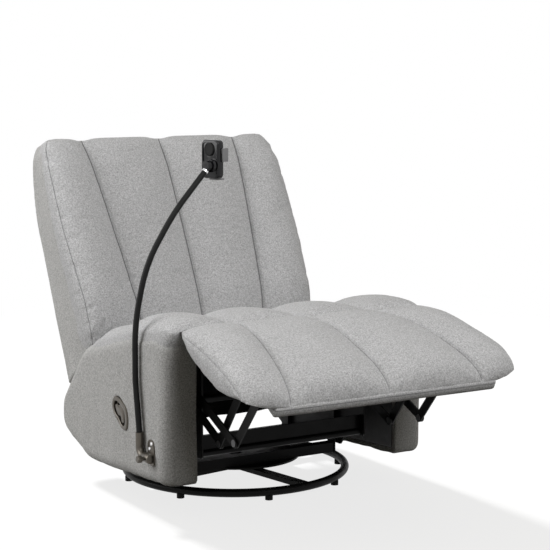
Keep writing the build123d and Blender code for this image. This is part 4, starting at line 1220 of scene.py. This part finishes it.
@dataclass
class Studio:
    """Floor, light and the camera at the photograph's angle."""

    camera_place: Point = (-2.200618, -3.791188, 1.12318)
    camera_pitch: float = 82.501
    camera_yaw: float = -31.551
    lens: float = 106.833
    floor_half: float = 6.0
    bounce: tuple[float, float, float, float] = (0.09, 0.086, 0.073, 1.0)
    glow: float = 1.0
    glow_share: float = 0.79
    glow_near: float = 1.6
    glow_far: float = 3.0
    room: tuple[float, float, float, float] = (1.0, 0.96, 0.86, 1.0)
    horizon: float = 0.08
    zenith: float = 0.32
    fill: float = 110.0
    fill_place: Point = (0.15, -3.0, 3.15)
    side: float = 80.0
    side_place: Point = (-2.7, 1.0, 1.8)
    sun: float = 5.3
    sun_place: Point = (0.0, 3.0, 2.15)
    sun_spread: float = 7.0

    def build(self) -> None:
        """Set up the studio."""
        bpy.context.scene.view_settings.view_transform = "Standard"
        self.camera()
        self.world()
        self.lamps(self.floor())

    def camera(self) -> None:
        """Stand the camera where the photograph was taken from."""
        data = bpy.data.cameras.new("camera")
        data.sensor_width = 36.0
        data.lens = self.lens
        camera = bpy.data.objects.new("camera", data)
        camera.location = self.camera_place
        camera.rotation_euler = (math.radians(self.camera_pitch), 0, math.radians(self.camera_yaw))
        bpy.context.scene.collection.objects.link(camera)
        bpy.context.scene.camera = camera

    def world(self) -> None:
        """Light the room from above, dimmer towards the horizon, with white walls to the eye."""
        world = bpy.data.worlds.new("room")
        world.use_nodes = True
        bpy.context.scene.world = world
        graph = Graph(world.node_tree)
        lit = world.node_tree.nodes["Background"]
        lit.inputs["Color"].default_value = self.room
        way = graph.node("ShaderNodeTexCoord").outputs["Generated"]
        upward = graph.node("ShaderNodeSeparateXYZ", {"Vector": way}).outputs["Z"]
        graph.feed(lit.inputs["Strength"], graph.ramp(upward, -0.1, 0.8, self.horizon, self.zenith))
        seen = graph.node("ShaderNodeBackground", {"Color": (1, 1, 1, 1), "Strength": 1.0})
        mixed = graph.node("ShaderNodeMixShader", {"Fac": self.looked_at(graph)})
        graph.tree.links.new(lit.outputs[0], mixed.inputs[1])
        graph.tree.links.new(seen.outputs[0], mixed.inputs[2])
        graph.feed(world.node_tree.nodes["World Output"].inputs["Surface"], mixed.outputs[0])

    @staticmethod
    def looked_at(graph: Graph) -> Socket:
        """1 for what the eye sees, straight, mirrored or through glass, and 0 for light on other things."""
        path = graph.node("ShaderNodeLightPath").outputs
        mirrored = graph.math("MAXIMUM", path["Is Glossy Ray"], path["Is Transmission Ray"])
        return graph.math("MAXIMUM", path["Is Camera Ray"], mirrored)

    def floor(self) -> bpy.types.Object:
        """Lay a floor that looks white, with a faint shadow, and throws little light back up."""
        shape = bmesh.new()
        bmesh.ops.create_grid(shape, x_segments=2, y_segments=2, size=self.floor_half)
        floor = Workshop.from_bmesh("floor", shape, smooth=False)
        material = bpy.data.materials.new("pale floor")
        material.use_nodes = True
        graph = Graph(material.node_tree)
        shader = material.node_tree.nodes["Principled BSDF"]
        look = self.looked_at(graph)
        graph.feed(shader.inputs["Base Color"], graph.mix(look, self.bounce, (1, 1, 1, 1)))
        shader.inputs["Roughness"].default_value = 0.9
        shader.inputs["Specular IOR Level"].default_value = 0.0
        glow = graph.node("ShaderNodeEmission", {"Color": (1, 1, 1, 1), "Strength": self.glow})
        length = graph.node("ShaderNodeVectorMath", {"Vector": graph.place()}, operation="LENGTH")
        reach = length.outputs["Value"]
        far = graph.ramp(reach, self.glow_near, self.glow_far, self.glow_share, 1.0)
        mixed = graph.node("ShaderNodeMixShader", {"Fac": graph.math("MULTIPLY", far, look)})
        graph.tree.links.new(shader.outputs[0], mixed.inputs[1])
        graph.tree.links.new(glow.outputs[0], mixed.inputs[2])
        graph.feed(material.node_tree.nodes["Material Output"].inputs["Surface"], mixed.outputs[0])
        floor.data.materials.append(material)
        return floor

    def lamps(self, floor: bpy.types.Object) -> None:
        """Hang two soft lamps for the chair, and a low sun behind it that throws its shadow on the floor."""
        for name, place, target, size, power in (
            ("fill", self.fill_place, (0, 0.1, 0.5), 2.6, self.fill),
            ("side", self.side_place, (-0.3, 0.1, 0.45), 2.4, self.side),
        ):
            data = bpy.data.lights.new(name, "AREA")
            data.size = size
            data.energy = power
            self.hang(data, place, target, floor, "EXCLUDE")
        data = bpy.data.lights.new("sun", "SUN")
        data.energy = self.sun
        data.angle = math.radians(self.sun_spread)
        self.hang(data, self.sun_place, (0, 0, 0), floor, "INCLUDE")

    @staticmethod
    def hang(data: bpy.types.Light, place: Point, target: Point, floor: bpy.types.Object, use: str) -> None:
        """Hang a lamp, and keep its light off the floor or to the floor.

        Args:
            data: The lamp.
            place: Where it hangs.
            target: The point that it faces.
            floor: The floor.
            use: EXCLUDE to keep the light off the floor, INCLUDE to keep it to the floor.
        """
        lamp = bpy.data.objects.new(data.name, data)
        lamp.location = place
        lamp.rotation_euler = (Vector(target) - Vector(place)).to_track_quat("-Z", "Y").to_euler()
        bpy.context.scene.collection.objects.link(lamp)
        lit = bpy.data.collections.new(f"lit by {data.name}")
        lit.objects.link(floor)
        lit.collection_objects[0].light_linking.link_state = use
        lamp.light_linking.receiver_collection = lit


def dress_nodes() -> None:
    """Give every CAD node the finish of its slot."""
    for entry in frame["record"]["subparts"]:
        node = frame["nodes"][entry["node"]]
        node.data.materials.clear()
        node.data.materials.append(SLOT_FINISH[entry["material_slot"]].material())


@dataclass
class Seat:
    """The seat: a cushion of two rows of four tufts, its foam, the side panels and the loose cloths."""

    front: float = -0.344
    rear: float = 0.128
    middle: float = -0.055
    half_width: float = 0.38
    channel: float = 0.204
    front_wall: float = -0.343
    front_wall_top: float = 0.46
    front_tuck: float = 0.026
    panel_inside: float = 0.29
    panel_outside: float = 0.396
    corner_half: float = 0.37
    corner_tuck: float = 0.024
    corner_drop: float = 0.024
    corner_inward: float = 0.016
    panel_folds: float = 0.002
    panel_held: float = 0.05
    panel_slackens: float = 0.08

    def cushion(self) -> None:
        """Make the seat cushion."""
        channels = (-self.channel, 0.0, self.channel)
        seams = [Seam((across, self.front), (across, self.rear)) for across in channels]
        seams.append(Seam((-self.half_width, self.middle), (self.half_width, self.middle)))
        rim = [(-344, 376, 472), (-312, 388, 478), (-240, 386, 474), (-150, 384, 461), (-85, 383, 442)]
        rim += [(-55, 382, 432), (-20, 383, 423), (40, 385, 408), (100, 382, 388), (128, 368, 375)]
        Cushion(
            "seat_cushion_quilted",
            "seat_cushion",
            "seat",
            FaceFrame.tilted((0, 0, 0), 0),
            rim,
            seams,
            self.panel_top,
            foot=lambda along: np.full_like(along, self.panel_outside),
            form=self.rolled_ends,
            skirt=0.042,
            rim_line=0.0,
            side_rounds=24,
            spare=0.028,
        ).build()

    def rolled_ends(self, places: np.ndarray) -> np.ndarray:
        """Let the rear end down into the curve of the panels, and tuck the front wall in.

        The front wall's corners run down into the panels, so that no lip shows where they meet.

        Args:
            places: The cushion's points.

        Returns:
            The points, moved.
        """
        half = np.abs(places[:, 0])
        drop = np.interp(places[:, 1], (0.02, 0.04, 0.1, 0.128), (0.0, 0.002, 0.008, 0.005))
        front = (places[:, 1] < self.front_wall) & (places[:, 2] < self.front_wall_top)
        over_panel = front & (half > self.panel_inside)
        tuck = front * np.where(over_panel, self.corner_tuck, self.front_tuck)
        drop = drop + self.corner_drop * over_panel
        inward = self.corner_inward * over_panel * (half > self.corner_half) * np.sign(places[:, 0])
        moved = places - np.outer(drop, (0, 0, 1)) + np.outer(tuck, (0, 1, 0))
        return moved - np.outer(inward, (1, 0, 0))

    @staticmethod
    def panel_top(along: np.ndarray) -> np.ndarray:
        """Height of the side panels' top edge, which the seat rests on."""
        front = 0.445 + (0.466 - 0.445) * (-0.15 - along) / 0.18
        rear = 0.445 - (0.445 - 0.376) * (along + 0.15) / 0.258
        return np.where(along < -0.15, front, rear)

    def foam(self) -> None:
        """Make the foam slab between the cushion and its straps."""
        Upholstery(
            "seat_foam_slab", "seat_foam", "seat", FOAM, Slot.FOAM, voxel=0.007, rounds=3, sag=0.0008
        ).build()

    def panels(self) -> None:
        """Make the two padded side panels."""
        for side in ("left", "right"):
            node = f"side_panel_{side}"
            Upholstery(
                f"{node}_cloth",
                node,
                "seat",
                PANEL_CLOTH,
                Slot.PANEL,
                loose=self.panel_slack,
                folds=self.panel_folds,
            ).build()

    def panel_slack(self, places: np.ndarray) -> np.ndarray:
        """How loosely the panel's cloth lies: not at all under the seat's edge."""
        return rise(self.panel_top(places[:, 1]) - self.panel_held, places[:, 2], self.panel_slackens)

    def folds(self) -> None:
        """Make the cloth that bridges the seat's two folds, and the dust cloths behind the mechanism, whose
        near-black is partly painted shade.
        """
        line = [(-0.338, 0.470), (-0.346, 0.4715), (-0.355, 0.473), (-0.364, 0.4765), (-0.372, 0.4815)]
        bodies = ("seat", "footrest")
        FoldCloth("crease_cloth", "crease_fabric", bodies, line, 0.355, ["front_cross_rail"]).build()
        line = [(0.111, 0.318), (0.128, 0.328), (0.146, 0.337), (0.163, 0.344), (0.180, 0.352)]
        FoldCloth("rear_flap_cloth", "rear_flap", ("seat", "back"), line, 0.285, ["rear_cross_tube"]).build()
        self.lining()

    @staticmethod
    def lining() -> None:
        """Hang dust cloths from the rear seat rail and over the front one; their near-black is partly painted
        shade in the openings under the seat.
        """
        for name, low, high, half, place in (
            ("dust_cloth", 0.135, 0.302, 0.226, 0.113),
            ("dust_cloth_front", 0.384, 0.452, 0.258, -0.324),
        ):
            shape = bmesh.new()
            bmesh.ops.create_grid(shape, x_segments=60, y_segments=24, size=0.5)
            for vert in shape.verts:
                x = 2 * half * vert.co.x
                share = 0.5 - vert.co.y
                wave = 0.004 * share * math.sin(37 * x + 1.2) + 0.003 * share * math.sin(81 * x)
                vert.co = Vector((x, place + wave * (high - low) / 0.167, high - share * (high - low)))
            piece = Workshop.from_bmesh(name, shape)
            # Painted shade in part: the near-black cloth darkens the openings under the seat.
            Workshop.finish(piece, DUST_CLOTH_AND_SHADE, Slot.BLACK)
            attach(piece, "seat")


@dataclass
class Footrest:
    """The footrest: a pad whose four channels fan out to the front, and its covered board."""

    slope: float = 22.0
    crease: Point = (0.0, -0.346, 0.460)
    side_start: float = 0.322
    side_band: float = 0.05
    flare: float = 0.013
    corner_start: float = 0.29
    corner_lift: float = 0.008
    corner_back: float = 0.022
    lip_start: float = 0.366
    lip_middle: float = 0.0255
    lip_growth: float = 0.7
    lip_out: float = 0.0055
    lip_seam: float = 0.0305

    @property
    def face(self) -> FaceFrame:
        """The pad's own directions, along from the crease to its front."""
        turn = Matrix.Rotation(math.radians(self.slope), 3, "X")
        return FaceFrame(Vector(self.crease), turn @ Vector((0, -1, 0)), turn @ Vector((0, 0, 1)))

    def build(self) -> None:
        """Make the pad and the lip of its board."""
        self.pad().build()
        Upholstery(
            "footrest_lip",
            "footrest_board",
            "footrest",
            CLOTH,
            Slot.FABRIC,
            form=self.deepen,
            # The lip's stitched seam, drawn as a thin line of painted crease shade.
            stitch=lambda places: self.face.local(places)[2] - self.lip_seam,
            voxel=0.004,
            rounds=6,
            sag=0.0006,
            swell=0.0012,
        ).build()

    def pad(self) -> Cushion:
        """The quilted pad, not yet made."""
        rim = [(12, 368, 26), (50, 380, 34), (110, 386, 48), (180, 389, 58), (250, 391, 62), (310, 392, 60)]
        rim += [(350, 390, 53), (380, 386, 46), (397, 376, 37)]
        return Cushion(
            "footrest_pad_quilted",
            "footrest_pad",
            "footrest",
            self.face,
            rim,
            [Seam((side * 0.205, 0.012), (side * 0.275, 0.397)) for side in (-1, 0, 1)],
            self.under,
            drape=self.hang_sides,
            spare=0.009,
            ruffle=0.0014,
            seed=7.0,
        )

    @staticmethod
    def under(along: np.ndarray) -> np.ndarray:
        """Height of the pad's underside, on the board."""
        return 0.0203 + 0.012 * (along - 0.06) / 0.332

    def hang_sides(self, places: np.ndarray) -> np.ndarray:
        """Let the sides hang below the board, lift the front corners and round them off."""
        across, along, height = self.face.local(places)
        half = np.abs(across)
        outer = rise(half, self.side_start, self.side_band)
        outer = outer * outer * (3 - 2 * outer)
        spots = (0.02, 0.041, 0.074, 0.132, 0.195, 0.263, 0.319, 0.37, 0.397)
        drop = np.interp(along, spots, (0.0, 0.005, 0.016, 0.025, 0.024, 0.021, 0.01, -0.004, -0.01))
        under = self.under(along)
        low = np.clip(1 - (height - under) / (self.pad().rim_height(along) - under), 0.0, 1.0)
        corner = rise(half, self.corner_start, 0.1) ** 2 * rise(along, 0.25, 0.11)
        lift = self.corner_lift * corner - drop * outer * low
        moved = self.face.moved(places, along=-self.corner_back * corner, height=lift)
        wider = self.flare * outer * rise(along, 0.2, 0.15)
        return moved + np.outer(np.sign(across) * wider, (1, 0, 0))

    def deepen(self, places: np.ndarray) -> np.ndarray:
        """Make the board's front edge into a deeper lip that laps the pad."""
        _, along, height = self.face.local(places)
        near = rise(along, self.lip_start, 0.018)
        grown = self.lip_growth * near * (height - self.lip_middle)
        return self.face.moved(places, along=self.lip_out * near, height=grown)


@dataclass
class Backrest:
    """The back: a cushion whose four channels fan out to the top, and its rear cover."""

    tilt: float = 25.0
    datum: Point = (0.0, 0.285, 0.330)
    cover_front: float = 0.0953
    cover_half: float = 0.374
    scallop_width: float = 0.03
    scallop_depth: float = 0.008

    @property
    def face(self) -> FaceFrame:
        """The back's own directions, along from its foot to its top."""
        return FaceFrame.tilted(self.datum, 90 - self.tilt)

    def build(self) -> None:
        """Make the cushion and the cover."""
        self.cushion().build()
        Upholstery(
            "back_cover_cloth", "back_cover", "back", PANEL_CLOTH, Slot.PANEL, form=self.meet_cushion
        ).build()

    def cushion(self) -> Cushion:
        """The quilted cushion, not yet made."""
        rim = [(-30, 352, 120), (12, 362, 146), (95, 368, 158), (200, 376, 152), (300, 382, 143)]
        rim += [(400, 382, 136), (490, 379, 127), (550, 371, 114), (588, 350, 100)]
        return Cushion(
            "back_cushion_quilted",
            "back_cushion",
            "back",
            self.face,
            rim,
            [Seam((side * 0.190, -0.03), (side * 0.246, 0.588)) for side in (-1, 0, 1)],
            lambda along: np.full_like(along, self.cover_front),
            foot=self.foot_width,
            drape=self.scallop,
            skirt=0.036,
            # Strong painted crease shade along the seams and the rim.
            seam_line=0.85,
            rim_line=0.65,
            gather=0.0008,
            spare=0.008,
            seed=12.0,
        )

    def foot_width(self, along: np.ndarray) -> np.ndarray:
        """Half the width at which the cushion's walls meet the cover."""
        return 0.373 + 0.6 * (self.cushion().half_width(along) - self.cover_half)

    def scallop(self, places: np.ndarray) -> np.ndarray:
        """Draw the top edge down at the seams, so that each channel's end is round."""
        _, along, _ = self.face.local(places)
        near = bell(self.cushion().seam_field(places)[0], self.scallop_width)
        return self.face.moved(places, along=-self.scallop_depth * near * rise(along, 0.5, 0.08))

    def meet_cushion(self, places: np.ndarray) -> np.ndarray:
        """Narrow the cover towards its front so that it runs into the cushion, and let its foot down."""
        _, along, height = self.face.local(places)
        front = rise(height, 0.01, 0.08)
        grown = 1 + front * (self.cushion().half_width(along) / self.cover_half - 1)
        depth = rise(height, -0.022, 0.117)
        foot = -0.084 + 0.046 * depth
        drop = (0.004 + 0.005 * depth) * rise(foot + 0.05, along, 0.05)
        drop += 0.009 * front * rise(along, 0.53, 0.06)
        moved = self.face.moved(places, along=-drop)
        return moved * np.stack([grown, np.ones_like(grown), np.ones_like(grown)], axis=1)


def main() -> None:
    """Build the recliner piece by piece."""
    logging.basicConfig(level=logging.INFO, format="%(message)s")
    Studio().build()
    dress_nodes()
    seat = Seat()
    seat.cushion()
    seat.foam()
    Footrest().build()
    Backrest().build()
    seat.panels()
    seat.folds()
    Pull().build()
    PhoneHolder().build()


if __name__ == "__main__":
    main()
